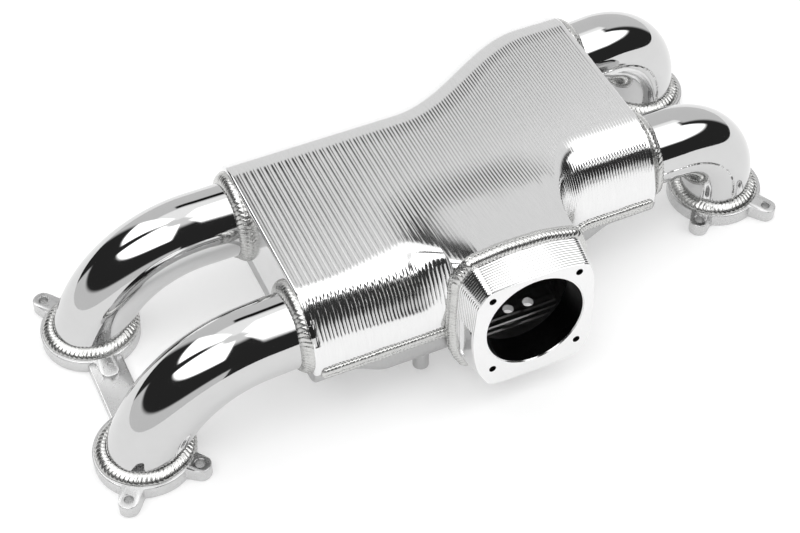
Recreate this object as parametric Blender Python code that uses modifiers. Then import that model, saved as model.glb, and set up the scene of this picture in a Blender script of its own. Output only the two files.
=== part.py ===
"""Intake manifold for a flat-four engine: a welded aluminium plenum with a throttle flange and four runners.

Run it with: blender --background --python part.py
Units are metres, +Z is up. X = 0 is midway between the two rows of intake ports, Z = 0 is the face
that meets the cylinder heads, and Y = 0 is the middle of the manifold's depth, throttle towards -Y.
"""

import math

import bmesh
import bpy
from mathutils import Matrix, Vector

MM = 0.001
GAP = 0.3 * MM            # clearance between neighbouring pieces

# Cylinder heads: two ports on each side, and the right-hand bank sits further back than the left.
PORT_PITCH = 113 * MM
BANK_HALF_SPREAD = 228 * MM
BANK_STAGGER = 55 * MM
FLANGE_THICKNESS = 10 * MM

# Runner tubes: 2 inch tube with a wall of 1/16 inch.
TUBE_RADIUS = 25.4 * MM
TUBE_WALL = 1.6 * MM
RUNNER_HEIGHT = 68.5 * MM
TUBE_ROUND_STEPS = 10
LEFT_BEND = {"radius": 85 * MM, "lean": math.radians(15), "outboard": 2 * MM}
RIGHT_BEND = {"radius": 45 * MM, "lean": math.radians(3.5), "outboard": 0.0}

# Plenum: a flat-topped chamber between two flat end faces, deeper in the middle of its underside.
PLENUM_LEFT = -117.5 * MM
PLENUM_RIGHT = 157 * MM
PLENUM_TOP = 101 * MM
PLENUM_SEAM = 50 * MM
PLENUM_BOTTOM = 36 * MM
PLENUM_BELLY = 25 * MM
PLENUM_WALL = 5 * MM
PLENUM_HALF_DEPTH = 86 * MM
PLENUM_LEFT_MIDDLE = -20.5 * MM
PLENUM_RIGHT_MIDDLE = 25.5 * MM
PLENUM_PORT_PITCH = 106.5 * MM
PLENUM_PORT_STAGGER = 48 * MM
TOP_ROUNDING = 32 * MM
BOTTOM_ROUNDING = 12 * MM
# Front top corner at full size: arcs from one wall angle to the next, in degrees, each with its radius and steps.
FRONT_ARCS = ((90, 66, 55.8 * MM, 3), (66, 42, 60 * MM, 3), (42, 0, 20 * MM, 4))
BELLY_FROM = -78 * MM
BELLY_TO = 112 * MM

# Throttle flange: a thick square plate that leans back a little.
THROTTLE_X = 23.5 * MM
THROTTLE_Y = -136 * MM
THROTTLE_Z = 68 * MM
THROTTLE_LEAN = math.radians(4.2)
THROTTLE_BORE = 34.5 * MM
THROTTLE_DEPTH = 23 * MM
THROTTLE_HALF_WIDTH = 43 * MM
THROTTLE_ABOVE = 39.5 * MM
THROTTLE_BELOW = 46.5 * MM
THROTTLE_CORNER = 11 * MM
THROTTLE_BOLT_SQUARE = 61 * MM
THROTTLE_BOLT_RADIUS = 2.5 * MM
NECK_RISE = 8 * MM        # how far the plenum's top climbs to meet the flange

# Head flange outline, from each port's centre: ear centres outboard, inboard and between the ports.
DISC_RADIUS = 33.6 * MM
EAR_RADIUS = 7.5 * MM
EAR_HOLE = 3.2 * MM
OUTBOARD_EAR = (22.4 * MM, 34.6 * MM)
INBOARD_EAR = (-27.9 * MM, 27.1 * MM)
WEB_EAR = (0.0, -41.3 * MM)
WEB_HALF_WIDTH = 12 * MM
WEB_THICKNESS = 7 * MM

WELD_RADIUS = 3 * MM
VACUUM_HOLE = 3.8 * MM
VACUUM_HOLES_X = (28 * MM, 43 * MM)
VACUUM_HOLES_Y = -91 * MM
LUG_RADIUS = 5.5 * MM
LUG_AT = (-38 * MM, -95 * MM)
LUG_FOOT = 11 * MM

FRONT_REACH = THROTTLE_Y - THROTTLE_BELOW * math.sin(THROTTLE_LEAN)
BACK_REACH = BANK_STAGGER / 2 + PORT_PITCH / 2 + OUTBOARD_EAR[1] + EAR_RADIUS
CENTRE_SHIFT = -(FRONT_REACH + BACK_REACH) / 2

FINISHES = {
    "machined": ((0.80, 0.80, 0.80), 0.30),
    "polished": ((0.86, 0.86, 0.86), 0.06),
    "weld": ((0.74, 0.74, 0.73), 0.35),
    "satin": ((0.76, 0.76, 0.77), 0.25),
}


# ---------------------------------------------------------------- scene and helpers

def clear_scene():
    for item in list(bpy.data.objects):
        bpy.data.objects.remove(item, do_unlink=True)


def new_collection(name):
    collection = bpy.data.collections.new(name)
    bpy.context.scene.collection.children.link(collection)
    return collection


def make_material(name, finish):
    colour, roughness = FINISHES[finish]
    material = bpy.data.materials.new(name)
    material.use_nodes = True
    shader = material.node_tree.nodes["Principled BSDF"]
    shader.inputs["Base Color"].default_value = (*colour, 1.0)
    shader.inputs["Metallic"].default_value = 1.0
    shader.inputs["Roughness"].default_value = roughness
    return material


def add_object(name, data, collection, finish=None):
    item = bpy.data.objects.new(name, data)
    collection.objects.link(item)
    if finish:
        item.data.materials.append(make_material(name + "_metal", finish))
    else:
        item.hide_render = True
        item.display_type = "WIRE"
    return item


def mesh_from(name, build):
    """A mesh whose bmesh is filled by build, with its faces turned outwards."""
    mesh = bpy.data.meshes.new(name)
    working = bmesh.new()
    build(working)
    bmesh.ops.recalc_face_normals(working, faces=working.faces)
    working.to_mesh(mesh)
    working.free()
    return mesh


def subtract(item, cutter):
    modifier = item.modifiers.new("cut_" + cutter.name, "BOOLEAN")
    modifier.operation = "DIFFERENCE"
    modifier.solver = "EXACT"
    modifier.object = cutter


def unite(item, addition):
    modifier = item.modifiers.new("join_" + addition.name, "BOOLEAN")
    modifier.operation = "UNION"
    modifier.solver = "EXACT"
    modifier.object = addition


def smooth(item, angle=35):
    item.data.shade_smooth()
    item.data.set_sharp_from_angle(angle=math.radians(angle))


def add_cylinder(working, start, end, radius, sides=32):
    """Adds a capped cylinder between two points to a bmesh."""
    axis = Vector(end) - Vector(start)
    place = Matrix.Translation((Vector(start) + Vector(end)) / 2) @ axis.to_track_quat("Z", "Y").to_matrix().to_4x4()
    bmesh.ops.create_cone(working, cap_ends=True, segments=sides, radius1=radius, radius2=radius,
                          depth=axis.length, matrix=place)


def add_box(working, low, high):
    """Adds a box between two corners to a bmesh."""
    low, high = Vector(low), Vector(high)
    size = Matrix.Diagonal((*(high - low), 1.0))
    bmesh.ops.create_cube(working, size=1.0, matrix=Matrix.Translation((low + high) / 2) @ size)


def ease(value):
    """Smooth step from 0 to 1."""
    value = min(max(value, 0.0), 1.0)
    return value * value * (3 - 2 * value)


def port_y(side, front):
    """Y of a cylinder head port. side is -1 for the left bank and 1 for the right."""
    return CENTRE_SHIFT + side * BANK_STAGGER / 2 + (-PORT_PITCH if front else PORT_PITCH) / 2


def plenum_port_y(side, front):
    """Y at which that port's runner meets the plenum's end face."""
    return (CENTRE_SHIFT + side * PLENUM_PORT_STAGGER / 2
            + (-PLENUM_PORT_PITCH if front else PLENUM_PORT_PITCH) / 2)


# ---------------------------------------------------------------- plenum shells

NECK_LEFT = THROTTLE_X - THROTTLE_HALF_WIDTH
NECK_RIGHT = THROTTLE_X + THROTTLE_HALF_WIDTH
NECK_FRONT = THROTTLE_Y + THROTTLE_DEPTH - 4 * MM
RIGHT_FILLET = 40 * MM


def middle_y(x):
    """Middle of the chamber's depth: it steps back between the left and right halves."""
    share = ease((x - 8 * MM) / (118 * MM))
    return PLENUM_LEFT_MIDDLE + share * (PLENUM_RIGHT_MIDDLE - PLENUM_LEFT_MIDDLE)


def back_y(x, inset=0.0):
    return CENTRE_SHIFT + middle_y(x) + PLENUM_HALF_DEPTH - inset


def front_y(x, inset=0.0):
    """Front wall: straight on the left wing, out to the throttle neck, then a round fillet to the right wing.

    The inner face of the wall follows the same shape, held in from it by the inset.
    """
    left_wing = PLENUM_LEFT_MIDDLE - PLENUM_HALF_DEPTH
    right_wing = PLENUM_RIGHT_MIDDLE - PLENUM_HALF_DEPTH
    if x <= NECK_LEFT + inset:
        return CENTRE_SHIFT + left_wing + inset
    if x <= NECK_RIGHT - inset:
        return CENTRE_SHIFT + NECK_FRONT
    fillet_centre = NECK_RIGHT + RIGHT_FILLET
    across = max(fillet_centre - x, 0.0) / (RIGHT_FILLET + inset)
    drop = (right_wing - NECK_FRONT + inset) * math.sqrt(max(1 - across ** 2, 0.0))
    return CENTRE_SHIFT + NECK_FRONT + drop


def top_rounding(x):
    """Radius of the top front edge: large on the wings, small where the neck meets the flange."""
    left = ease((NECK_LEFT + 18 * MM - x) / (38 * MM))
    right = ease((x - NECK_RIGHT + 12 * MM) / (45 * MM))
    return 9 * MM + max(left, right) * (TOP_ROUNDING - 9 * MM)


def neck_lift(x, y):
    """Height added to the top surface as it climbs towards the flange."""
    beside = ease((x - NECK_LEFT + 14 * MM) / (26 * MM)) * ease((NECK_RIGHT + 18 * MM - x) / (34 * MM))
    forward = ease((CENTRE_SHIFT - 66 * MM - y) / (48 * MM))
    return NECK_RISE * beside * forward


def bottom_z(x):
    """Underside height: shallow at the ends and deeper under the middle."""
    share = ease((x - BELLY_FROM) / (26 * MM) + 0.5) * ease((BELLY_TO - x) / (26 * MM) + 0.5)
    return PLENUM_BOTTOM + share * (PLENUM_BELLY - PLENUM_BOTTOM)


def corner(centre_y, centre_z, radius, start, end, steps):
    """Points of a round corner in a section, from angle start to end, in degrees."""
    angles = [math.radians(start + (end - start) * i / steps) for i in range(steps + 1)]
    return [(centre_y + radius * math.cos(a), centre_z + radius * math.sin(a)) for a in angles]


def front_corner(front, top, rounding, inset):
    """Points of the front top corner, from the wall up: slow at first and tighter near the top."""
    scale = rounding / TOP_ROUNDING
    arcs = [(math.radians(a), math.radians(b), radius * scale - inset, steps) for a, b, radius, steps in FRONT_ARCS]
    y, z = front, top - sum(radius * (math.cos(b) - math.cos(a)) for a, b, radius, _ in arcs)
    points = [(y, z)]
    for a, b, radius, steps in arcs:
        for i in range(1, steps + 1):
            angle = a + (b - a) * i / steps
            points.append((y + radius * (math.sin(a) - math.sin(angle)),
                           z + radius * (math.cos(angle) - math.cos(a))))
        y, z = points[-1]
    return points


def upper_section(x, inset=0.0):
    """Section of the upper half at x, from the front of the seam over the top to the back."""
    front, back, top = front_y(x, inset), back_y(x, inset), PLENUM_TOP - inset
    back_rounding = TOP_ROUNDING - inset
    seam = PLENUM_SEAM + GAP / 2 - inset
    points = [(front, seam)]
    points += front_corner(front, top, top_rounding(x), inset)
    start = points[-1][0]
    points += [(start + (back - back_rounding - start) * share, top) for share in (0.12, 0.24, 0.4, 0.7)]
    points += corner(back - back_rounding, top - back_rounding, back_rounding, 90, 0, 6)
    points += [(back, seam)]
    height = PLENUM_TOP - PLENUM_SEAM
    return [(x, y, z + neck_lift(x, y) * max(z - PLENUM_SEAM, 0.0) / height) for y, z in points]


def lower_section(x, inset=0.0):
    """Section of the lower half at x, from the back of the seam under the belly to the front."""
    front, back, bottom = front_y(x, inset), back_y(x, inset), bottom_z(x) + inset
    radius = BOTTOM_ROUNDING - inset
    seam = PLENUM_SEAM - GAP / 2 + inset
    points = [(back, seam)]
    points += corner(back - radius, bottom + radius, radius, 0, -90, 4)
    points += corner(front + radius, bottom + radius, radius, 270, 180, 4)
    points += [(front, seam)]
    return [(x, y, z) for y, z in points]


def stations(inset=0.0):
    """Where the sections stand: closer together beside the neck, where the front wall turns."""
    start, end = PLENUM_LEFT + inset, PLENUM_RIGHT - inset
    neck_start, neck_end = NECK_LEFT + inset, NECK_RIGHT - inset
    fillet_end = NECK_RIGHT + RIGHT_FILLET
    places = [start + (neck_start - start) * i / 7 for i in range(8)]
    places += [neck_start + MM + (neck_end - neck_start - MM) * i / 6 for i in range(7)]
    turns = [math.radians(90 * i / 9) for i in range(1, 10)]
    places += [neck_end + (fillet_end - neck_end) * (1 - math.cos(turn)) for turn in turns]
    places += [fillet_end + (end - fillet_end) * i / 3 for i in (1, 2, 3)]
    return places


def loft(section, inset=0.0):
    """Solid loft through the sections, closed along the seam and at both ends."""
    def build(working):
        rings = [[working.verts.new(p) for p in section(x, inset)] for x in stations(inset)]
        for near, far in zip(rings, rings[1:]):
            for i in range(len(near)):
                j = (i + 1) % len(near)
                working.faces.new((near[i], near[j], far[j], far[i]))
        working.faces.new(rings[0])
        working.faces.new(list(reversed(rings[-1])))
    return build


def make_shell(name, section, collection, cutter_collection, cutters):
    """Half of the plenum: a solid loft hollowed by a smaller loft, then opened for the ports and the mouth."""
    shell = add_object(name, mesh_from(name, loft(section)), collection, "machined")
    hollow_name = name + "_hollow"
    hollow = add_object(hollow_name, mesh_from(hollow_name, loft(section, PLENUM_WALL)), cutter_collection)
    for cutter in [hollow] + cutters:
        subtract(shell, cutter)
    return shell


def make_port_cutter(collection):
    """Round holes through both end faces, one for each runner."""
    bore = TUBE_RADIUS - TUBE_WALL

    def build(working):
        for side, end in ((-1, PLENUM_LEFT), (1, PLENUM_RIGHT)):
            for front in (True, False):
                y = plenum_port_y(side, front)
                add_cylinder(working, (end - 9 * MM, y, RUNNER_HEIGHT), (end + 9 * MM, y, RUNNER_HEIGHT), bore, 28)
    return add_object("port_cutter", mesh_from("port_cutter", build), collection)


def throttle_matrix():
    """Place of the throttle flange: local X across, local Y up the face and local Z out of the face."""
    turn = Matrix.Rotation(math.radians(90) - THROTTLE_LEAN, 4, "X")
    return Matrix.Translation((THROTTLE_X, THROTTLE_Y + CENTRE_SHIFT, THROTTLE_Z)) @ turn


def make_mouth_cutter(collection):
    """Trims the neck to a plane behind the flange, which leaves it open like a duct."""
    def build(working):
        reach = 70 * MM
        front, back = THROTTLE_DEPTH, -(THROTTLE_DEPTH + 2 * WELD_RADIUS + 2 * GAP)
        add_box(working, (-reach, -reach, back), (reach, reach, front))
        working.transform(throttle_matrix())
    return add_object("mouth_cutter", mesh_from("mouth_cutter", build), collection)


def make_lower_details(collection):
    """The drilled holes and the mounting lug of the lower shell's underside."""
    def build_holes(working):
        for x in VACUUM_HOLES_X:
            y = VACUUM_HOLES_Y + CENTRE_SHIFT
            add_cylinder(working, (x, y, PLENUM_BELLY - 8 * MM), (x, y, PLENUM_BELLY + 12 * MM), VACUUM_HOLE, 16)

    def build_lug(working):
        x, y = LUG_AT[0], LUG_AT[1] + CENTRE_SHIFT
        add_cylinder(working, (x, y, LUG_FOOT), (x, y, PLENUM_BELLY + PLENUM_WALL / 2), LUG_RADIUS, 20)
    holes = add_object("vacuum_hole_cutter", mesh_from("vacuum_hole_cutter", build_holes), collection)
    lug = add_object("lug_blank", mesh_from("lug_blank", build_lug), collection)
    return holes, lug


# ---------------------------------------------------------------- throttle flange

def throttle_outline(grow=0.0, corner_steps=5):
    """Rounded outline of the throttle flange in its own plane, wider by grow all round."""
    half, up, down = THROTTLE_HALF_WIDTH + grow, THROTTLE_ABOVE + grow, THROTTLE_BELOW + grow
    radius = THROTTLE_CORNER + grow
    points = corner(half - radius, up - radius, radius, 0, 90, corner_steps)
    points += corner(radius - half, up - radius, radius, 90, 180, corner_steps)
    points += corner(radius - half, radius - down, radius, 180, 270, corner_steps)
    points += corner(half - radius, radius - down, radius, 270, 360, corner_steps)
    return points


def flat_curve(name, outline, thickness):
    """A filled 2D curve, extruded to the thickness."""
    curve = bpy.data.curves.new(name, "CURVE")
    curve.dimensions = "2D"
    curve.fill_mode = "BOTH"
    curve.extrude = thickness / 2
    spline = curve.splines.new("POLY")
    spline.points.add(len(outline) - 1)
    for point, (x, y) in zip(spline.points, outline):
        point.co = (x, y, 0, 1)
    spline.use_cyclic_u = True
    return curve


def as_mesh_object(item, name, collection, finish=None):
    """Turns a curve object into a welded mesh object of the given name, in place."""
    depsgraph = bpy.context.evaluated_depsgraph_get()
    mesh = bpy.data.meshes.new_from_object(item.evaluated_get(depsgraph))
    working = bmesh.new()
    working.from_mesh(mesh)
    bmesh.ops.remove_doubles(working, verts=working.verts, dist=0.00001)
    working.to_mesh(mesh)
    working.free()
    mesh.materials.clear()
    matrix = item.matrix_world.copy()
    bpy.data.objects.remove(item, do_unlink=True)
    mesh.name = name
    made = add_object(name, mesh, collection, finish)
    made.matrix_world = matrix
    return made


def make_throttle_flange(collection, cutter_collection):
    curve = flat_curve("throttle_blank", throttle_outline(), THROTTLE_DEPTH)
    blank = add_object("throttle_blank", curve, cutter_collection)
    blank.matrix_world = throttle_matrix() @ Matrix.Translation((0, 0, -THROTTLE_DEPTH / 2))
    bpy.context.view_layer.update()
    flange = as_mesh_object(blank, "throttle_flange", collection, "machined")

    def build(working):
        deep = THROTTLE_DEPTH + 4 * MM
        add_cylinder(working, (0, 0, -deep), (0, 0, 4 * MM), THROTTLE_BORE, 40)
        half = THROTTLE_BOLT_SQUARE / 2
        for x in (-half, half):
            for y in (-half, half):
                add_cylinder(working, (x, y, -16 * MM), (x, y, 4 * MM), THROTTLE_BOLT_RADIUS, 12)
        add_box(working, (-THROTTLE_HALF_WIDTH - 5 * MM, -24 * MM, -17 * MM),
                (-THROTTLE_HALF_WIDTH + 3 * MM, 6 * MM, -2.5 * MM))
        working.transform(throttle_matrix())
    cutter = add_object("throttle_cutter", mesh_from("throttle_cutter", build), cutter_collection)
    subtract(flange, cutter)
    return flange


# ---------------------------------------------------------------- runners and head flanges

def runner_path(side, front, bend):
    """Centre line of a runner: up from the head with a lean, round one bend, then level to the plenum."""
    start = Vector((side * (BANK_HALF_SPREAD + bend["outboard"]), port_y(side, front), 0))
    finish = Vector((PLENUM_LEFT if side < 0 else PLENUM_RIGHT, plenum_port_y(side, front), RUNNER_HEIGHT))
    inward = Vector((finish.x - start.x, finish.y - start.y, 0)).normalized()
    radius, lean = bend["radius"], bend["lean"]
    rise = RUNNER_HEIGHT - radius * (1 - math.sin(lean))
    along = rise * math.tan(lean)
    points = [start - Vector((0, 0, 6 * MM)) - inward * 6 * MM * math.tan(lean)]
    steps = 9
    for i in range(steps + 1):
        angle = (math.pi / 2 - lean) * (1 - i / steps)
        across = radius * (math.cos(lean) - math.sin(angle))
        height = rise + radius * (math.cos(angle) - math.sin(lean))
        points.append(start + inward * (along + across) + Vector((0, 0, height)))
    points.append(finish + Vector((-side * 12 * MM, 0, 0)))
    return points


def wire(name, points, radius, resolution, closed, capped):
    """A round curve through the points."""
    curve = bpy.data.curves.new(name, "CURVE")
    curve.dimensions = "3D"
    curve.bevel_depth = radius
    curve.bevel_resolution = resolution
    curve.use_fill_caps = capped
    spline = curve.splines.new("POLY")
    spline.points.add(len(points) - 1)
    for point, place in zip(spline.points, points):
        point.co = (*place, 1)
    spline.use_cyclic_u = closed
    spline.use_smooth = True
    return curve


def make_runner(name, side, front, bend, collection, cutter_collection, cutters):
    curve = wire(name + "_blank", runner_path(side, front, bend), TUBE_RADIUS, TUBE_ROUND_STEPS, False, False)
    blank = add_object(name + "_blank", curve, cutter_collection)
    bpy.context.view_layer.update()
    tube = as_mesh_object(blank, name, collection, "polished")
    wall = tube.modifiers.new("wall", "SOLIDIFY")
    wall.thickness = TUBE_WALL
    wall.offset = -1
    for cutter in cutters:
        subtract(tube, cutter)
    smooth(tube)
    return tube


def lobe_reach(angle, ear):
    """How far a round ear reaches from the port's centre in one direction."""
    distance = math.hypot(*ear)
    swing = angle - math.atan2(ear[1], ear[0])
    if math.cos(swing) <= 0 or abs(distance * math.sin(swing)) >= EAR_RADIUS:
        return 0.0
    return distance * math.cos(swing) + math.sqrt(EAR_RADIUS ** 2 - (distance * math.sin(swing)) ** 2)


def lobed_outline(ears, steps=80):
    """Outline of a port disc with its ears, as the furthest reach in each direction."""
    points = []
    for i in range(steps):
        angle = 2 * math.pi * i / steps
        reach = max([DISC_RADIUS] + [lobe_reach(angle, ear) for ear in ears])
        points.append((reach * math.cos(angle), reach * math.sin(angle)))
    return points


def flange_ears(side, front):
    """Ear centres of one port, turned to face its own side and end."""
    along = -1 if front else 1
    ears = [(side * OUTBOARD_EAR[0], along * OUTBOARD_EAR[1]), (side * INBOARD_EAR[0], along * INBOARD_EAR[1])]
    if not front:
        ears.append((side * WEB_EAR[0], WEB_EAR[1]))
    return ears


def make_head_flange(name, side, collection, cutter_collection):
    discs = []
    for front in (True, False):
        label = name + ("_front_disc" if front else "_back_disc")
        curve = flat_curve(label, lobed_outline(flange_ears(side, front)), FLANGE_THICKNESS)
        blank = add_object(label, curve, cutter_collection)
        blank.location = (side * BANK_HALF_SPREAD, port_y(side, front), FLANGE_THICKNESS / 2)
        bpy.context.view_layer.update()
        keeps = name if front else label
        discs.append(as_mesh_object(blank, keeps, collection if front else cutter_collection,
                                    "satin" if front else None))
    flange, back_disc = discs

    def build_web(working):
        x = side * BANK_HALF_SPREAD
        low_y, high_y = port_y(side, True) + DISC_RADIUS - 4 * MM, port_y(side, False) - DISC_RADIUS + 4 * MM
        add_box(working, (x - WEB_HALF_WIDTH, low_y, 0), (x + WEB_HALF_WIDTH, high_y, WEB_THICKNESS))
    web = add_object(name + "_web", mesh_from(name + "_web", build_web), cutter_collection)

    def build_bores(working):
        for front in (True, False):
            x, y = side * BANK_HALF_SPREAD, port_y(side, front)
            add_cylinder(working, (x, y, -5 * MM), (x, y, 20 * MM), TUBE_RADIUS - TUBE_WALL, 28)
            for ear in flange_ears(side, front):
                add_cylinder(working, (x + ear[0], y + ear[1], -5 * MM), (x + ear[0], y + ear[1], 20 * MM), EAR_HOLE, 12)
    bores = add_object(name + "_bores", mesh_from(name + "_bores", build_bores), cutter_collection)
    unite(flange, web)
    unite(flange, back_disc)
    subtract(flange, bores)
    return flange


def make_trim_cutters(collection):
    """Blocks that trim the runner tubes flush with the head flanges and the plenum's end faces."""
    def build_low(working):
        reach = 400 * MM
        add_box(working, (-reach, -reach, -40 * MM), (reach, reach, FLANGE_THICKNESS + GAP))

    def build_middle(working):
        reach = 250 * MM
        add_box(working, (PLENUM_LEFT - GAP, -reach, 20 * MM), (PLENUM_RIGHT + GAP, reach, 120 * MM))
    low = add_object("head_trim", mesh_from("head_trim", build_low), collection)
    middle = add_object("plenum_trim", mesh_from("plenum_trim", build_middle), collection)
    return low, middle


# ---------------------------------------------------------------- weld beads

def make_bead(name, points, closed, collection):
    bead = add_object(name + "_blank", wire(name + "_blank", points, WELD_RADIUS, 1, closed, not closed), collection)
    bpy.context.view_layer.update()
    made = as_mesh_object(bead, name, collection, "weld")
    smooth(made, 65)
    return made


def ring_points(centre, across, upward, wide, tall, steps=24):
    """Points of an oval round the centre, wide along the first direction and tall along the second."""
    angles = [2 * math.pi * i / steps for i in range(steps)]
    return [centre + across * wide * math.cos(a) + upward * tall * math.sin(a) for a in angles]


def crossing(path, height):
    """Where a path first climbs through a height, and its tilt from upright there."""
    for below, above in zip(path, path[1:]):
        if below.z <= height < above.z:
            share = (height - below.z) / (above.z - below.z)
            run = above - below
            return below.lerp(above, share), math.atan2(math.hypot(run.x, run.y), run.z)
    raise ValueError("the path never reaches that height")


def make_runner_beads(side, front, bend, label, collection):
    """One bead where the tube stands on its flange and one where it enters the plenum."""
    clear = TUBE_RADIUS + WELD_RADIUS + 3 * GAP
    foot, tilt = crossing(runner_path(side, front, bend), FLANGE_THICKNESS + GAP + WELD_RADIUS)
    wide = clear + TUBE_RADIUS * (1 / math.cos(tilt) - 1) + 1.6 * WELD_RADIUS * math.tan(tilt)
    make_bead("flange_weld_" + label, ring_points(foot, Vector((1, 0, 0)), Vector((0, 1, 0)), wide, clear),
              True, collection)
    end = PLENUM_LEFT if side < 0 else PLENUM_RIGHT
    mouth = Vector((end + side * (GAP + WELD_RADIUS), plenum_port_y(side, front), RUNNER_HEIGHT))
    make_bead("plenum_weld_" + label, ring_points(mouth, Vector((0, 1, 0)), Vector((0, 0, 1)), clear, clear),
              True, collection)


def seam_points(wall_y, low_x, high_x, outward, steps):
    """Points beside the seam, held clear of the wall."""
    clear = WELD_RADIUS + 3 * GAP
    points = []
    for i in range(steps + 1):
        x = low_x + (high_x - low_x) * i / steps
        slope = (wall_y(x + 0.5 * MM) - wall_y(x - 0.5 * MM)) / MM
        normal = Vector((-slope, 1)).normalized() * outward
        points.append(Vector((x + normal.x * clear, wall_y(x) + normal.y * clear, PLENUM_SEAM)))
    return points


def make_throttle_bead(collection):
    outline = throttle_outline(grow=-WELD_RADIUS, corner_steps=3)
    depth = -(THROTTLE_DEPTH + WELD_RADIUS + GAP)
    points = [throttle_matrix() @ Vector((x, y, depth)) for x, y in outline]
    return make_bead("throttle_weld", points, True, collection)


# ---------------------------------------------------------------- assembly

def main():
    clear_scene()
    parts = new_collection("intake_manifold")
    cutters = new_collection("cutters")

    ports = make_port_cutter(cutters)
    mouth = make_mouth_cutter(cutters)
    holes, lug = make_lower_details(cutters)
    make_shell("plenum_upper_shell", upper_section, parts, cutters, [ports, mouth])
    lower = make_shell("plenum_lower_shell", lower_section, parts, cutters, [ports, mouth])
    unite(lower, lug)
    subtract(lower, holes)
    make_throttle_flange(parts, cutters)

    head_trim, plenum_trim = make_trim_cutters(cutters)
    for side, bend, side_name in ((-1, LEFT_BEND, "left"), (1, RIGHT_BEND, "right")):
        make_head_flange("head_flange_" + side_name, side, parts, cutters)
        for front in (True, False):
            label = ("front_" if front else "back_") + side_name
            make_runner("runner_tube_" + label, side, front, bend, parts, cutters, [head_trim, plenum_trim])
            make_runner_beads(side, front, bend, label, parts)

    make_throttle_bead(parts)
    make_bead("seam_weld_front_left", seam_points(front_y, PLENUM_LEFT + 6 * MM, NECK_LEFT - 4 * MM, -1, 5),
              False, parts)
    make_bead("seam_weld_front_right", seam_points(front_y, NECK_RIGHT + 12 * MM, PLENUM_RIGHT - 4 * MM, -1, 12),
              False, parts)
    make_bead("seam_weld_back", seam_points(back_y, PLENUM_LEFT + 4 * MM, PLENUM_RIGHT - 4 * MM, 1, 20),
              False, parts)


main()
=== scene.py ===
"""Looks of a welded aluminium intake manifold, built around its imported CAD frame.

Every length is in metres. +X runs from the left bank of head ports to the right bank, -Y is the throttle
side and +Z is up. Shapes are numpy grids: outlines carried along an axis, or profiles carried along a path.
"""

import logging
from dataclasses import dataclass, field
from enum import Enum

import bpy
import numpy as np
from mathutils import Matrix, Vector


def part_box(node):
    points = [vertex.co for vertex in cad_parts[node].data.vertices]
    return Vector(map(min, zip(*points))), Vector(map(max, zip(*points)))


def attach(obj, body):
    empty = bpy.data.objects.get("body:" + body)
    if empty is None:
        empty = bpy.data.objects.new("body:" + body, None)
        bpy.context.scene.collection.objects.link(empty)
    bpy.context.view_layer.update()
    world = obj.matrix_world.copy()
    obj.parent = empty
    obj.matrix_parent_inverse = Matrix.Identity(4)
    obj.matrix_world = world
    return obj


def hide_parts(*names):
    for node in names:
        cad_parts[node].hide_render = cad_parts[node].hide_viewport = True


LOG = logging.getLogger("intake_manifold")
MM = 0.001
BODY = "root"
Array = np.ndarray
NOISE_DRAWS = 4096
BEAD_SHARP = 75.0
LEAN = np.radians(4.2)
CENTRE_SHIFT = 6.653 * MM
PORT_REACH = 228 * MM
PLENUM_TOP = 101 * MM
NECK_HALF = 43 * MM
THROTTLE_Y, THROTTLE_Z = -136 * MM, 68 * MM
EAR_ALONG, EAR_RADIUS = 34.6 * MM, 7.5 * MM
VACUUM_HOLES = ((28.2 * MM, -84.3 * MM), (43.1 * MM, -84.3 * MM))


# ---------------------------------------------------------------- small shape helpers

def ease(value: Array) -> Array:
    """Smooth step from 0 to 1: 3t^2 - 2t^3 of the clipped value."""
    clipped = np.clip(value, 0.0, 1.0)
    return clipped * clipped * (3.0 - 2.0 * clipped)


def unit(vectors: Array) -> Array:
    """Vectors scaled to length 1 along their last axis."""
    return vectors / np.maximum(np.linalg.norm(vectors, axis=-1, keepdims=True), 1e-12)


def grid_faces(rows: int, columns: int, wrap_rows: bool = False, wrap_columns: bool = False) -> Array:
    """Quads of a grid whose vertices are stored row by row.

    Args:
        rows: number of rows of vertices.
        columns: number of vertices in a row.
        wrap_rows: whether the last row joins the first.
        wrap_columns: whether a row's last vertex joins its first.

    Returns:
        An array of quads, shaped (faces, 4).
    """
    i = np.arange(rows if wrap_rows else rows - 1)[:, None]
    j = np.arange(columns if wrap_columns else columns - 1)[None, :]
    i, j = np.broadcast_arrays(i, j)
    next_i, next_j = (i + 1) % rows, (j + 1) % columns
    corners = (i * columns + j, i * columns + next_j, next_i * columns + next_j, next_i * columns + j)
    return np.stack([c.ravel() for c in corners], axis=1)


def value_noise(places: Array, spacing: float, seed: int) -> Array:
    """Smooth noise along a line: random values at even steps, eased between neighbours, from -1 to 1.

    Args:
        places: distances along the line.
        spacing: distance between the random values.
        seed: seed of the draws.

    Returns:
        One value for each place.
    """
    draws = np.random.default_rng(seed).uniform(-1.0, 1.0, NOISE_DRAWS)
    steps = places / spacing
    whole = np.floor(steps).astype(int)
    share = ease(steps - whole)
    return draws[whole % NOISE_DRAWS] * (1 - share) + draws[(whole + 1) % NOISE_DRAWS] * share


class Winding(Enum):
    """Which way a grid's quads are listed."""

    AS_LISTED = 1
    REVERSED = -1


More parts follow.
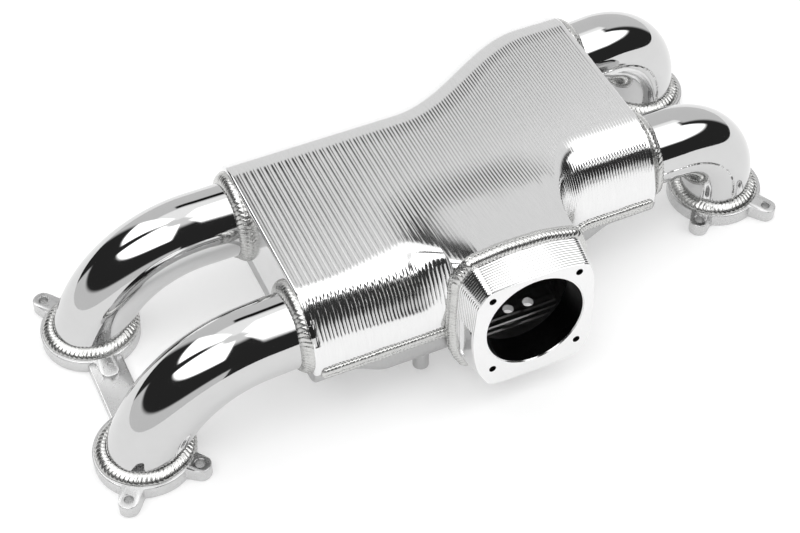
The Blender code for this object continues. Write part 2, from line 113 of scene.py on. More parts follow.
@dataclass
class MeshData:
    """Vertices and faces that are put together before they become a piece."""

    vertices: list = field(default_factory=list)
    faces: list = field(default_factory=list)
    slots: list = field(default_factory=list)
    count: int = 0

    def add(self, vertices: Array, faces: Array, winding: Winding = Winding.AS_LISTED) -> None:
        """Adds a block of vertices and faces in the first material slot.

        Args:
            vertices: points, shaped (..., 3).
            faces: index rows counted from the block's own first vertex.
            winding: whether the faces are turned over.
        """
        points = np.asarray(vertices, float).reshape(-1, 3)
        rows = np.asarray(faces)
        if winding is Winding.REVERSED:
            rows = rows[:, ::-1]
        self.vertices.append(points)
        self.faces.append(rows + self.count)
        self.slots.append(np.zeros(len(rows), int))
        self.count += len(points)

    def join(self, other: "MeshData", winding: Winding) -> None:
        """Adds another's blocks, turned over where asked."""
        self.add(np.concatenate(other.vertices), np.concatenate(other.faces), winding)

    def mesh(self, name: str, weld: float = 2e-6) -> bpy.types.Mesh:
        """The blocks as one mesh, with doubled vertices merged and empty faces removed.

        Args:
            name: name of the mesh.
            weld: distance in metres within which vertices merge.

        Returns:
            The new mesh.
        """
        mesh = bpy.data.meshes.new(name)
        points = np.concatenate(self.vertices)
        keys = np.round(points / weld).astype(np.int64)
        _, keep, same = np.unique(keys, axis=0, return_index=True, return_inverse=True)
        same = same.ravel()
        rows, slots = [], []
        for block, slot in zip(self.faces, self.slots):
            merged = same[block]
            following = np.roll(merged, -1, axis=1)
            whole = np.all(merged != following, axis=1)
            if merged.shape[1] == 4:
                whole &= (merged[:, 0] != merged[:, 2]) & (merged[:, 1] != merged[:, 3])
            rows += merged[whole].tolist()
            slots += slot[whole].tolist()
            for row, material in zip(merged[~whole].tolist(), slot[~whole].tolist()):
                corners = list(dict.fromkeys(row))
                if len(corners) == 3:
                    rows.append(corners)
                    slots.append(material)
        mesh.from_pydata(points[keep].tolist(), [], rows)
        mesh.polygons.foreach_set("material_index", slots)
        mesh.validate()
        mesh.update()
        return mesh


def outward_mesh(data: MeshData, name: str) -> bpy.types.Mesh:
    """The data's mesh, turned over where its volume is negative so that its faces point out.

    The volume's sign is that of the sum of a . (b x c) over all triangles.

    Args:
        data: the closed mesh data.
        name: name of the mesh.

    Returns:
        The new mesh.
    """
    mesh = data.mesh(name)
    points = np.zeros(len(mesh.vertices) * 3)
    mesh.vertices.foreach_get("co", points)
    points = points.reshape(-1, 3)
    mesh.calc_loop_triangles()
    triangles = np.zeros(len(mesh.loop_triangles) * 3, np.int32)
    mesh.loop_triangles.foreach_get("vertices", triangles)
    a, b, c = (points[triangles.reshape(-1, 3)[:, k]] for k in range(3))
    if np.einsum("ij,ij->i", a, np.cross(b, c)).sum() < 0:
        mesh.flip_normals()
    return mesh


def loose_piece(data: MeshData, name: str) -> bpy.types.Object:
    """An undressed object that can be carved.

    Args:
        data: closed mesh data.
        name: name of the object and its mesh.

    Returns:
        The linked object.
    """
    piece = bpy.data.objects.new(name, outward_mesh(data, name))
    bpy.context.scene.collection.objects.link(piece)
    return piece


def take_mesh(blank: bpy.types.Object) -> bpy.types.Mesh:
    """A carved blank's mesh without its materials. The blank itself is removed."""
    mesh = blank.data
    bpy.data.objects.remove(blank, do_unlink=True)
    mesh.materials.clear()
    return mesh


def add_piece(name: str, mesh: bpy.types.Mesh, materials: list, sharp: float = 40.0) -> bpy.types.Object:
    """A shaded object for a mesh, dressed with its materials.

    Args:
        name: name of the piece.
        mesh: its mesh, in place.
        materials: one material for each slot that its faces use.
        sharp: angle in degrees past which an edge is shaded sharp.

    Returns:
        The linked object.
    """
    piece = bpy.data.objects.new(name, mesh)
    bpy.context.scene.collection.objects.link(piece)
    for material in materials:
        mesh.materials.append(material)
    mesh.shade_smooth()
    mesh.set_sharp_from_angle(angle=np.radians(sharp))
    return piece


def carve(piece: bpy.types.Object, tools: list, operation: str = "DIFFERENCE") -> None:
    """Cuts tools out of a piece, or joins them to it, and removes the tools.

    Args:
        piece: the object that is changed.
        tools: the objects that are cut away or joined, in order.
        operation: DIFFERENCE to cut, UNION to join.
    """
    for tool in tools:
        modifier = piece.modifiers.new("tool", "BOOLEAN")
        modifier.operation = operation
        modifier.solver = "EXACT"
        modifier.object = tool
        bpy.context.view_layer.update()
        depsgraph = bpy.context.evaluated_depsgraph_get()
        shaped = bpy.data.meshes.new_from_object(piece.evaluated_get(depsgraph), depsgraph=depsgraph)
        piece.modifiers.clear()
        spent = piece.data
        piece.data = shaped
        bpy.data.meshes.remove(spent)
        bpy.data.objects.remove(tool, do_unlink=True)


def rod(start: Array, end: Array, radius: float, sides: int = 48) -> bpy.types.Object:
    """A closed cylinder between two points, for cutting round holes: circles round the axis at both ends.

    Args:
        start: centre of the first end.
        end: centre of the second end.
        radius: the cylinder's radius.
        sides: number of flat sides.

    Returns:
        The linked cylinder.
    """
    start, end = np.asarray(start, float), np.asarray(end, float)
    axis = unit(end - start)
    across = unit(np.cross(axis, [0.31, 0.52, 0.79]))
    other = np.cross(axis, across)
    turn = np.linspace(0, 2 * np.pi, sides, endpoint=False)
    circle = radius * (np.cos(turn)[:, None] * across + np.sin(turn)[:, None] * other)
    rings = np.stack([np.broadcast_to(start, circle.shape), start + circle, end + circle,
                      np.broadcast_to(end, circle.shape)])
    data = MeshData()
    data.add(rings, grid_faces(4, sides, wrap_columns=True))
    return loose_piece(data, "rod")


def thick_skin(outer: Array, inner: Array, keep: Array, dress: Array | None = None) -> MeshData:
    """A closed wall between two grids of the same size, with openings.

    The kept quads of both grids are used, and each edge that only one kept quad has gets a quad that
    bridges the outer grid to the inner one.

    Args:
        outer: outer points, shaped (rows, columns, 3).
        inner: inner points, shaped as the outer ones.
        keep: which quads stay, shaped (rows - 1, columns - 1).
        dress: material slot of each outer quad, 0 where it isn't given. The inner side has slot 1.

    Returns:
        The wall's mesh data.
    """
    rows, columns = outer.shape[:2]
    faces = grid_faces(rows, columns)[keep.ravel()]
    edges = np.concatenate([faces[:, [k, (k + 1) % 4]] for k in range(4)])
    code = edges.min(1).astype(np.int64) * rows * columns + edges.max(1)
    _, where, counts = np.unique(code, return_index=True, return_counts=True)
    rim = edges[where[counts == 1]]
    total = rows * columns
    data = MeshData()
    points = np.concatenate([outer.reshape(-1, 3), inner.reshape(-1, 3)])
    every = [faces, faces[:, ::-1] + total,
             np.stack([rim[:, 1], rim[:, 0], rim[:, 0] + total, rim[:, 1] + total], axis=1)]
    data.vertices.append(points)
    data.faces += every
    outside = np.zeros(len(faces), int) if dress is None else dress.ravel()[keep.ravel()]
    data.slots += [outside, np.ones(len(faces), int), np.zeros(len(rim), int)]
    data.count = len(points)
    return data


# ---------------------------------------------------------------- shader node helpers

class Nodes:
    """Adds nodes to one node tree and links them."""

    def __init__(self, tree: bpy.types.NodeTree) -> None:
        """Keeps the tree that nodes are added to."""
        self.tree = tree

    def add(self, kind: str, inputs: dict | None = None, **settings: object) -> bpy.types.Node:
        """Adds a node, sets its properties, and fills or links its inputs.

        Args:
            kind: the node's type name.
            inputs: input name or number to a value or to a socket that feeds it.
            **settings: properties of the node.

        Returns:
            The new node.
        """
        node = self.tree.nodes.new(kind)
        for key, value in settings.items():
            setattr(node, key, value)
        for key, value in (inputs or {}).items():
            if isinstance(value, bpy.types.NodeSocket):
                self.tree.links.new(value, node.inputs[key])
            else:
                node.inputs[key].default_value = value
        return node

    def math(self, operation: str, first: object, second: object = 0.0, third: object = 0.0) -> object:
        """Result socket of a Math node."""
        node = self.add("ShaderNodeMath", {0: first, 1: second, 2: third}, operation=operation)
        return node.outputs[0]

    def smooth(self, value: object, low: float, high: float) -> object:
        """Result socket that rises smoothly from 0 to 1 between two values."""
        node = self.add("ShaderNodeMapRange", {"Value": value, "From Min": low, "From Max": high},
                        interpolation_type="SMOOTHSTEP")
        return node.outputs["Result"]


def new_group(name: str, inputs: dict, outputs: dict) -> tuple[bpy.types.NodeTree, Nodes, object, object]:
    """An empty shader node group with named sockets.

    Args:
        name: the group's name.
        inputs: socket name to (socket type, default value).
        outputs: socket name to socket type.

    Returns:
        The tree, its node helper, and its input and output nodes.
    """
    tree = bpy.data.node_groups.new(name, "ShaderNodeTree")
    for label, (kind, default) in inputs.items():
        socket = tree.interface.new_socket(name=label, in_out="INPUT", socket_type=kind)
        if default is not None:
            socket.default_value = default
    for label, kind in outputs.items():
        tree.interface.new_socket(name=label, in_out="OUTPUT", socket_type=kind)
    nodes = Nodes(tree)
    return tree, nodes, nodes.add("NodeGroupInput"), nodes.add("NodeGroupOutput")


def make_handling_group() -> bpy.types.NodeTree:
    """Group that varies roughness as handled metal does: broad cloudy wipes and finer specks."""
    tree, nodes, given, result = new_group(
        "handling_marks",
        {"Vector": ("NodeSocketVector", None), "Base": ("NodeSocketFloat", 0.2),
         "Spread": ("NodeSocketFloat", 0.1), "Scale": ("NodeSocketFloat", 30.0)},
        {"Roughness": "NodeSocketFloat"})
    where, scale = given.outputs["Vector"], given.outputs["Scale"]
    clouds = nodes.add("ShaderNodeTexNoise", {"Vector": where, "Scale": scale, "Detail": 4.0, "Roughness": 0.6})
    fine_scale = nodes.math("MULTIPLY", scale, 9.0)
    specks = nodes.add("ShaderNodeTexNoise", {"Vector": where, "Scale": fine_scale, "Detail": 3.0})
    both = nodes.math("MULTIPLY_ADD", specks.outputs["Fac"], 0.4,
                      nodes.math("MULTIPLY", clouds.outputs["Fac"], 0.6))
    centred = nodes.math("SUBTRACT", both, 0.5)
    varied = nodes.math("MULTIPLY_ADD", centred, nodes.math("MULTIPLY", given.outputs["Spread"], 3.0),
                        given.outputs["Base"])
    nodes.tree.links.new(nodes.math("MAXIMUM", varied, 0.02), result.inputs["Roughness"])
    return tree


def make_grain_group() -> bpy.types.NodeTree:
    """Group for fine tool marks: noise stretched along one axis, as a height and a faint tint."""
    tree, nodes, given, result = new_group(
        "tool_grain",
        {"Vector": ("NodeSocketVector", None), "Scale": ("NodeSocketFloat", 900.0),
         "Stretch": ("NodeSocketVector", (1.0, 1.0, 1.0)), "Light": ("NodeSocketColor", (0.8, 0.8, 0.8, 1.0)),
         "Dark": ("NodeSocketColor", (0.7, 0.7, 0.7, 1.0))},
        {"Height": "NodeSocketFloat", "Color": "NodeSocketColor"})
    stretched = nodes.add("ShaderNodeVectorMath", {0: given.outputs["Vector"], 1: given.outputs["Stretch"]},
                          operation="MULTIPLY")
    grain = nodes.add("ShaderNodeTexNoise", {"Vector": stretched.outputs[0], "Scale": given.outputs["Scale"],
                                             "Detail": 3.0, "Roughness": 0.65})
    tint = nodes.add("ShaderNodeMix", {"Factor": grain.outputs["Fac"], "A": given.outputs["Dark"],
                                       "B": given.outputs["Light"]}, data_type="RGBA")
    nodes.tree.links.new(grain.outputs["Fac"], result.inputs["Height"])
    nodes.tree.links.new(tint.outputs["Result"], result.inputs["Color"])
    return tree


@dataclass(frozen=True)
class MetalFinish:
    """One bare-metal finish: its tint, gloss and the marks that its tool left. The inside finish's tint is
    painted shade.
    """

    name: str
    light: tuple[float, float, float]
    dark: tuple[float, float, float]
    roughness: float
    spread: float
    mark_scale: float
    grain_scale: float
    stretch: tuple[float, float, float]
    bump: float
    bump_distance: float

    def material(self, handling: bpy.types.NodeTree, grain: bpy.types.NodeTree) -> bpy.types.Material:
        """Builds the material.

        Args:
            handling: the handling-marks group.
            grain: the tool-grain group.

        Returns:
            A Principled material driven by both groups on Object coordinates.
        """
        material = bpy.data.materials.new(self.name)
        material.use_nodes = True
        nodes = Nodes(material.node_tree)
        shader = material.node_tree.nodes["Principled BSDF"]
        where = nodes.add("ShaderNodeTexCoord").outputs["Object"]
        marks = nodes.add("ShaderNodeGroup", {"Vector": where, "Base": self.roughness, "Spread": self.spread,
                                              "Scale": self.mark_scale}, node_tree=handling)
        tool = nodes.add("ShaderNodeGroup", {"Vector": where, "Scale": self.grain_scale,
                                             "Stretch": self.stretch, "Light": (*self.light, 1.0),
                                             "Dark": (*self.dark, 1.0)}, node_tree=grain)
        bump = nodes.add("ShaderNodeBump", {"Strength": self.bump, "Distance": self.bump_distance,
                                            "Height": tool.outputs["Height"]})
        nodes.tree.links.new(tool.outputs["Color"], shader.inputs["Base Color"])
        nodes.tree.links.new(marks.outputs["Roughness"], shader.inputs["Roughness"])
        nodes.tree.links.new(bump.outputs["Normal"], shader.inputs["Normal"])
        shader.inputs["Metallic"].default_value = 1.0
        return material


FINISHES = {
    "ribbed": MetalFinish("ribbed_billet", (0.84, 0.84, 0.84), (0.76, 0.76, 0.76), 0.13, 0.04, 40.0,
                          700.0, (1.0, 0.12, 0.12), 0.10, 0.00010),
    "wall": MetalFinish("plain_billet", (0.50, 0.50, 0.50), (0.42, 0.42, 0.42), 0.34, 0.06, 30.0,
                        900.0, (1.0, 1.0, 0.2), 0.12, 0.00010),
    "face": MetalFinish("faced_billet", (0.90, 0.90, 0.90), (0.84, 0.84, 0.84), 0.42, 0.05, 60.0,
                        1500.0, (1.0, 1.0, 0.3), 0.12, 0.00008),
    "polish": MetalFinish("mirror_polish", (0.62, 0.62, 0.62), (0.58, 0.58, 0.58), 0.05, 0.02, 25.0,
                          60.0, (1.0, 1.0, 1.0), 0.05, 0.00015),
    "weld": MetalFinish("weld_bead", (0.70, 0.70, 0.69), (0.50, 0.50, 0.49), 0.26, 0.10, 120.0,
                        500.0, (1.0, 1.0, 1.0), 0.10, 0.00012),
    "flange": MetalFinish("cast_flange", (0.68, 0.68, 0.68), (0.52, 0.52, 0.52), 0.28, 0.08, 60.0,
                          1200.0, (1.0, 1.0, 1.0), 0.18, 0.00010),
    # Painted shade: the inner walls of the plenum, the tubes and the throttle bore are painted near black to
    # stand in for their unlit hollows.
    "inside": MetalFinish("painted_shade_inside", (0.10, 0.10, 0.10), (0.05, 0.05, 0.05), 0.30, 0.08, 50.0,
                          400.0, (1.0, 1.0, 1.0), 0.10, 0.00010),
}


# ---------------------------------------------------------------- the plenum

@dataclass
class Plenum:
    """The ribbed chamber: two shells that meet at a seam, each a thick skin carried along X."""

    left: float
    right: float
    top: float
    seam: float
    neck_left: float
    neck_right: float
    shift: float
    throttle: Array
    wall: float = 5 * MM
    bottom: float = 36 * MM
    belly: float = 25 * MM
    half_depth: float = 86 * MM
    left_middle: float = -20.5 * MM
    right_middle: float = 25.5 * MM
    rounding: float = 32 * MM
    neck_rounding: float = 9 * MM
    shoulder: float = 14 * MM
    low_rounding: float = 12 * MM
    neck_rise: float = 8 * MM
    neck_front: float = -117.0 * MM
    fillet: float = 40 * MM
    front_arcs: tuple = ((90, 66, 55.8 * MM, 7), (66, 42, 60 * MM, 8), (42, 0, 20 * MM, 9))
    top_rib: float = 0.15 * MM
    side_rib: float = 0.40 * MM
    wide_rib: float = 2.475 * MM
    narrow_rib: float = 2.14 * MM
    rib_stations: int = 6
    edge_radius: float = 2.2 * MM
    port_radius: float = 23.8 * MM
    ports: tuple = ()
    holes: tuple = ()
    hole_radius: float = 3.8 * MM
    mouth_radius: float = 35.5 * MM
    lug: tuple = (-38 * MM, -95 * MM, 11 * MM, 5.5 * MM)
    end_rings: int = 16
    lower_stations: int = 200
    plain_below: float = 76 * MM

    def back(self, x: Array) -> Array:
        """Y of the back wall: straight, an eased step back, then straight."""
        share = ease((x - 8 * MM) / (118 * MM))
        return self.shift + self.left_middle + share * (self.right_middle - self.left_middle) + self.half_depth

    def front(self, x: Array, inset: float = 0.0) -> Array:
        """Y of the front wall: the left wing, a step out at the neck, then a quarter ellipse to the right wing.

        Args:
            x: stations.
            inset: how far the wall lies inside the outer surface.

        Returns:
            One y for each station.
        """
        plane = self.shift + self.left_middle - self.half_depth + inset
        wing = self.shift + self.right_middle - self.half_depth + inset
        start = self.shift + self.neck_front
        across = np.clip((self.neck_right + self.fillet - x) / (self.fillet + inset), 0.0, 1.0)
        curved = start + (wing - start) * np.sqrt(1 - across ** 2)
        neck = self.shift + self.neck_front + inset
        return np.where(x <= self.neck_left + inset, plane, np.maximum(curved, neck))

    def front_rounding(self, x: Array) -> Array:
        """Size of the top front edge: large on the wings and small at the neck."""
        left = ease((self.neck_left + 20 * MM - x) / (42 * MM))
        right = ease((x - self.neck_right + 12 * MM) / (45 * MM))
        return self.neck_rounding + np.maximum(left, right) * (self.rounding - self.neck_rounding)

    def swell(self, x: Array) -> Array:
        """Radius added to the top arc where the left wing swells towards the neck."""
        rising = ease((x + 98 * MM) / (60 * MM))
        return self.shoulder * rising * ease((self.neck_left + 14 * MM - x) / (36 * MM))

    def lift(self, x: Array, y: Array) -> Array:
        """Height added to the top towards the throttle flange."""
        beside = ease((x - self.neck_left + 30 * MM) / (50 * MM))
        beside = beside * ease((self.neck_right + 24 * MM - x) / (50 * MM))
        forward = ease((self.shift - 24 * MM - y) / (92 * MM))
        return self.neck_rise * beside * forward

    def floor_height(self, x: Array) -> Array:
        """Underside height: shallow at both ends and deeper in between."""
        share = ease((x + 78 * MM) / (26 * MM) + 0.5) * ease((112 * MM - x) / (26 * MM) + 0.5)
        return self.bottom + share * (self.belly - self.bottom)

    @staticmethod
    def arc(centre_y: Array, centre_z: Array, radius: Array, start: float, end: float, count: int) -> Array:
        """Round corner of many sections at once, shaped (sections, count, 2)."""
        turn = np.radians(np.linspace(start, end, count))
        return np.stack([centre_y[:, None] + radius[:, None] * np.cos(turn),
                         centre_z[:, None] + radius[:, None] * np.sin(turn)], axis=-1)

    @staticmethod
    def line(y: Array, z: Array, next_y: Array, next_z: Array, shares: Array) -> Array:
        """Straight run of many sections at once, shaped (sections, count, 2)."""
        return np.stack([y[:, None] + (next_y - y)[:, None] * shares,
                         z[:, None] + (next_z - z)[:, None] * shares], axis=-1)

    def front_corner(self, front: Array, top: Array, x: Array, inset: Array) -> Array:
        """Front top corner: arcs of three radii that share their tangents, slow on the wall and tight on top.

        Along an arc of radius r from angle a to b, y grows by r (sin a - sin b) and z by r (cos b - cos a).
        The swell widens the top arc, and the wall's arc gives back the height that it takes. The right wing is
        slow on top and tight below.

        Args:
            front: y of the wall at each station.
            top: z of the top at each station.
            x: stations.
            inset: how far in from the outer surface, one value a station.

        Returns:
            Points (y, z), shaped (stations, points, 2).
        """
        scale, swell = self.front_rounding(x) / self.rounding, self.swell(x)
        right = ease((x - self.neck_right - 10 * MM) / (30 * MM)) * MM
        given = (14.7 * right - 0.632 * swell, -30 * right, swell + 16 * right)
        arcs = [(np.radians(a), np.radians(b), radius * scale + more - inset, n)
                for (a, b, radius, n), more in zip(self.front_arcs, given)]
        y = front
        z = top - sum(radius * (np.cos(b) - np.cos(a)) for a, b, radius, _ in arcs)
        pieces = []
        for a, b, radius, count in arcs:
            turn = a + (b - a) * np.linspace(0, 1, count + 1)[1:]
            pieces.append(np.stack([y[:, None] + radius[:, None] * (np.sin(a) - np.sin(turn)),
                                    z[:, None] + radius[:, None] * (np.cos(turn) - np.cos(a))], axis=-1))
            y, z = pieces[-1][:, -1, 0], pieces[-1][:, -1, 1]
        return np.concatenate(pieces, axis=1)

    def upper_section(self, x: Array, inset: Array) -> Array:
        """Sections of the upper shell from the front of the seam over the top to the back of it.

        Args:
            x: stations.
            inset: how far in from the outer surface, one value a station.

        Returns:
            Points (y, z), shaped (stations, points, 2).
        """
        wall = float(np.median(inset))
        front, back = self.front(x, wall) + inset - wall, self.back(x) - inset
        top = self.top - inset
        far = np.full_like(x, self.rounding) - inset
        seam = np.full_like(x, self.seam)
        corner = self.front_corner(front, top, x, inset)
        parts = [self.line(front, seam, corner[:, 0, 0], corner[:, 0, 1], np.linspace(0, 1, 5)[:-1]), corner,
                 self.line(corner[:, -1, 0], top, back - far, top, np.linspace(0, 1, 18)[1:-1] ** 1.3),
                 self.arc(back - far, top - far, far, 90, 0, 10),
                 self.line(back, top - far, back, seam, np.linspace(0, 1, 4)[1:])]
        section = np.concatenate(parts, axis=1)
        climb = self.lift(x[:, None], section[..., 0]) * (section[..., 1] - self.seam) / (self.top - self.seam)
        section[..., 1] += climb
        return section

    def lower_section(self, x: Array, inset: Array) -> Array:
        """Sections of the lower shell from the back of the seam under the belly to the front of it.

        Args:
            x: stations.
            inset: how far in from the outer surface, one value a station.

        Returns:
            Points (y, z), shaped (stations, points, 2).
        """
        wall = float(np.median(inset))
        front, back = self.front(x, wall) + inset - wall, self.back(x) - inset
        bottom = self.floor_height(x) + inset
        radius = self.low_rounding - inset
        seam = np.full_like(x, self.seam)
        shares = 1 - (1 - np.linspace(0, 1, 64)[1:-1]) ** 1.8
        parts = [self.line(back, seam, back, bottom + radius, np.linspace(0, 1, 5)[:-1]),
                 self.arc(back - radius, bottom + radius, radius, 0, -90, 10),
                 self.line(back - radius, bottom, front + radius, bottom, shares),
                 self.arc(front + radius, bottom + radius, radius, 270, 180, 10),
                 self.line(front, bottom + radius, front, seam, np.linspace(0, 1, 5)[1:])]
        return np.concatenate(parts, axis=1)

    def rib_phase(self, x: Array) -> Array:
        """How many ribs lie left of x: the sum of dx / pitch, where the pitch narrows to the right.

        Args:
            x: stations.

        Returns:
            The count at each station, with its fraction.
        """
        fine = np.linspace(self.left, self.right, 6000)
        share = np.clip((fine + 10 * MM) / (135 * MM), 0.0, 1.0)
        pitch = self.wide_rib + (self.narrow_rib - self.wide_rib) * share
        counted = np.concatenate([[0.0], np.cumsum(np.diff(fine) / ((pitch[1:] + pitch[:-1]) / 2))])
        return np.interp(x, fine, counted)

    def rib_places(self) -> Array:
        """Stations that fall on every rib's crest and evenly between, with closer ones round both end edges."""
        fine = np.linspace(self.left, self.right, 6000)
        phase = self.rib_phase(fine)
        inside = np.interp(np.arange(0.0, phase[-1], 1 / self.rib_stations), phase, fine)
        curl = self.edge_radius * (1 - np.cos(np.linspace(0, np.pi / 2, 9)))
        margin = self.edge_radius * 1.05
        inside = inside[(inside > self.left + margin) & (inside < self.right - margin)]
        return np.concatenate([self.left + curl, inside, self.right - curl[::-1]])

    def rib_profile(self, x: Array, side: Array) -> Array:
        """Depth below the crests, which is a parabola across each groove.

        On the left half of the top every other groove is deeper. The front edge has the deeper ribs throughout.

        Args:
            x: stations.
            side: share from 0 on the top to 1 on the front edge, shaped (stations, points).

        Returns:
            The depth, shaped as the share.
        """
        phase = self.rib_phase(x)
        across = 2.0 * (phase - np.floor(phase)) - 1.0
        left_half = 1 - ease((x + 60 * MM) / (100 * MM))
        swing = np.where(np.floor(phase) % 2 == 0, 1.0, -1.0) * 0.45 * left_half
        depth = self.top_rib * (1 + swing)[:, None] + (self.side_rib - self.top_rib) * side
        return depth * (1.0 - across ** 2)[:, None]

    def skin(self, upper: bool) -> MeshData:
        """One shell as a closed thick skin, with its end faces and port holes.

        The upper shell's outer side is pushed in by the ribs, which fade out on the walls, at the ends, in the
        bright band over the front edge and on the neck. The lower shell's inner side has steps in front.

        Args:
            upper: whether this is the upper shell.

        Returns:
            The shell's mesh data, with slot 2 on the plain walls.
        """
        section = self.upper_section if upper else self.lower_section
        x = self.rib_places() if upper else np.concatenate(
            [self.rib_places()[:9],
             np.linspace(self.left + 3.2 * MM, self.right - 3.2 * MM, self.lower_stations),
             self.rib_places()[-9:]])
        reach = np.minimum(x - self.left, self.right - x)
        curl = self.edge_radius - np.sqrt(np.maximum(
            self.edge_radius ** 2 - np.maximum(self.edge_radius - reach, 0.0) ** 2, 0.0))
        outer = section(x, curl)
        inner_x = np.clip(x, self.left + self.wall, self.right - self.wall)
        inner = section(inner_x, np.full_like(x, self.wall))
        if upper:
            along = unit(np.gradient(outer, axis=1))
            inward = np.stack([along[..., 1], -along[..., 0]], axis=-1)
            ahead = ease((self.back(x)[:, None] - self.rounding - outer[..., 0]) / (70 * MM))
            steep = np.where(outer[..., 0] < self.front(x)[:, None] + 40 * MM, np.abs(inward[..., 0]), 0.0)
            kept_back = ease((x - 10 * MM) / (60 * MM))[:, None]
            behind = 1 - ease((np.abs(inward[..., 0]) - 0.02 - 0.1 * kept_back) / 0.35) * (ahead <= 0)
            fade = ease((outer[..., 1] - 70 * MM) / (10 * MM))
            fade = fade * ease((reach - 2 * MM) / (3 * MM))[:, None] * behind
            side = ease((steep - 0.42) / 0.36)
            crest = ease(steep / 0.12) * (1 - side)
            neck = ease((x + 70 * MM) / (50 * MM))[:, None] * ease((-20 * MM - outer[..., 0]) / (60 * MM))
            depth = self.rib_profile(x, side) * fade * (1 - 0.85 * crest) * (1 - 0.55 * neck * (1 - side))
            outer = outer + inward * depth[..., None]
        else:
            depth = ease((-62 * MM - inner[..., 0]) / (6 * MM)) * ease(inner_x / (4 * MM))[:, None]
            wave = (-inner[..., 0] / (4.5 * MM)) % 1.0
            inner[..., 1] += 0.9 * MM * depth * wave * (inner[..., 1] < self.belly + 12 * MM)
        outer = np.concatenate([np.broadcast_to(x[:, None, None], (*outer.shape[:2], 1)), outer], axis=-1)
        inner = np.concatenate([np.broadcast_to(inner_x[:, None, None], (*inner.shape[:2], 1)), inner], axis=-1)
        outer, inner = self.close_ends(outer), self.close_ends(inner)
        distance, _ = self.near_port((outer[:-1, :-1] + outer[1:, 1:]) / 2)
        keep = distance > self.port_radius
        plain = np.zeros(keep.shape, int)
        if upper:
            middle = (outer[:-1, :-1] + outer[1:, 1:]) / 2
            near_end = np.minimum(middle[..., 0] - self.left, self.right - middle[..., 0]) < 2.5 * MM
            plain = np.where((middle[..., 2] < self.plain_below) | near_end, 2, 0)
        return thick_skin(self.round_ports(outer), self.round_ports(inner), keep, plain)

    def close_ends(self, skin: Array) -> Array:
        """Adds the flat end faces: rings that shrink from the end section onto the seam line.

        Args:
            skin: points, shaped (stations, points, 3).

        Returns:
            The points with the rings of both ends in front and behind.
        """
        share = np.linspace(0, 1, self.end_rings + 1)[1:, None, None]
        caps = []
        for ring in (skin[0], skin[-1]):
            along = np.linspace(0, 1, len(ring))[:, None]
            base = ring[0] + (ring[-1] - ring[0]) * along
            caps.append(ring * (1 - share) + base * share)
        return np.concatenate([caps[0][::-1], skin, caps[1]])

    def near_port(self, points: Array) -> tuple[Array, Array]:
        """Finds the port that each point lies near.

        Args:
            points: points, shaped (..., 3).

        Returns:
            Distance in the YZ plane to the nearest port axis on an end face, and that axis's (y, z).
        """
        best = np.full(points.shape[:-1], 1.0)
        centre = np.zeros((*points.shape[:-1], 2))
        for x, y, z in self.ports:
            here = np.abs(points[..., 0] - x) < self.wall * 1.2
            distance = np.where(here, np.hypot(points[..., 1] - y, points[..., 2] - z), 1.0)
            closer = distance < best
            best = np.where(closer, distance, best)
            centre[closer] = (y, z)
        return best, centre

    def round_ports(self, skin: Array) -> Array:
        """Moves the vertices beside a port's edge onto its circle, so that the hole is round.

        Args:
            skin: points, shaped (stations, points, 3).

        Returns:
            The moved points.
        """
        distance, centre = self.near_port(skin)
        near = np.abs(distance - self.port_radius) < 1.6 * MM
        scale = np.where(near, self.port_radius / np.maximum(distance, 1e-9), 1.0)[..., None]
        moved = skin.copy()
        moved[..., 1:] = np.where(near[..., None], centre + (skin[..., 1:] - centre) * scale, skin[..., 1:])
        return moved

    def shell(self, name: str, upper: bool) -> bpy.types.Object:
        """One shell, with the round throttle mouth cut through the neck's front wall.

        Args:
            name: name of the blank.
            upper: whether this is the upper shell.

        Returns:
            The carved blank.
        """
        piece = loose_piece(self.skin(upper), name)
        for _ in range(3):
            piece.data.materials.append(None)
        back = np.array([0.0, np.cos(LEAN), -np.sin(LEAN)])
        tools = [rod(self.throttle + back * 12 * MM, self.throttle + back * 36 * MM, self.mouth_radius, 96)]
        if not upper:
            lug_x, lug_y, foot, radius = self.lug
            lug_y += self.shift
            post = rod((lug_x, lug_y, foot), (lug_x, lug_y, self.belly + 2 * MM), radius)
            carve(piece, [post], "UNION")
            tools += [rod((a, b, self.belly - 6 * MM), (a, b, self.belly + 9 * MM), self.hole_radius)
                      for a, b in self.holes]
        carve(piece, tools)
        return piece

    def build(self, materials: dict) -> None:
        """Makes both shells and dresses them."""
        # The inside finish on slot 1, the inner sides, is painted shade: near black for the unlit hollow of the
        # plenum.
        for name, upper, finishes, sharp, node in (
                ("plenum_upper", True, ("ribbed", "inside", "wall"), 17.0, "plenum_upper_shell"),
                ("plenum_lower", False, ("wall", "inside", "wall"), 35.0, "plenum_lower_shell")):
            mesh = take_mesh(self.shell(name + "_blank", upper))
            piece = add_piece(name, mesh, [materials[finish] for finish in finishes], sharp)
            settle(piece, "plenum_shell", node)


def settle(piece: bpy.types.Object, slot: str, *nodes: str) -> None:
    """Puts a piece on the manifold's body and hides the CAD nodes that it stands for.

    Args:
        piece: the finished piece.
        slot: name of its material slot; not used.
        *nodes: the CAD nodes that it replaces.
    """
    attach(piece, BODY)
    if nodes:
        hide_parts(*nodes)
    LOG.info("%s: %d faces", piece.name, len(piece.data.polygons))


# ---------------------------------------------------------------- weld beads

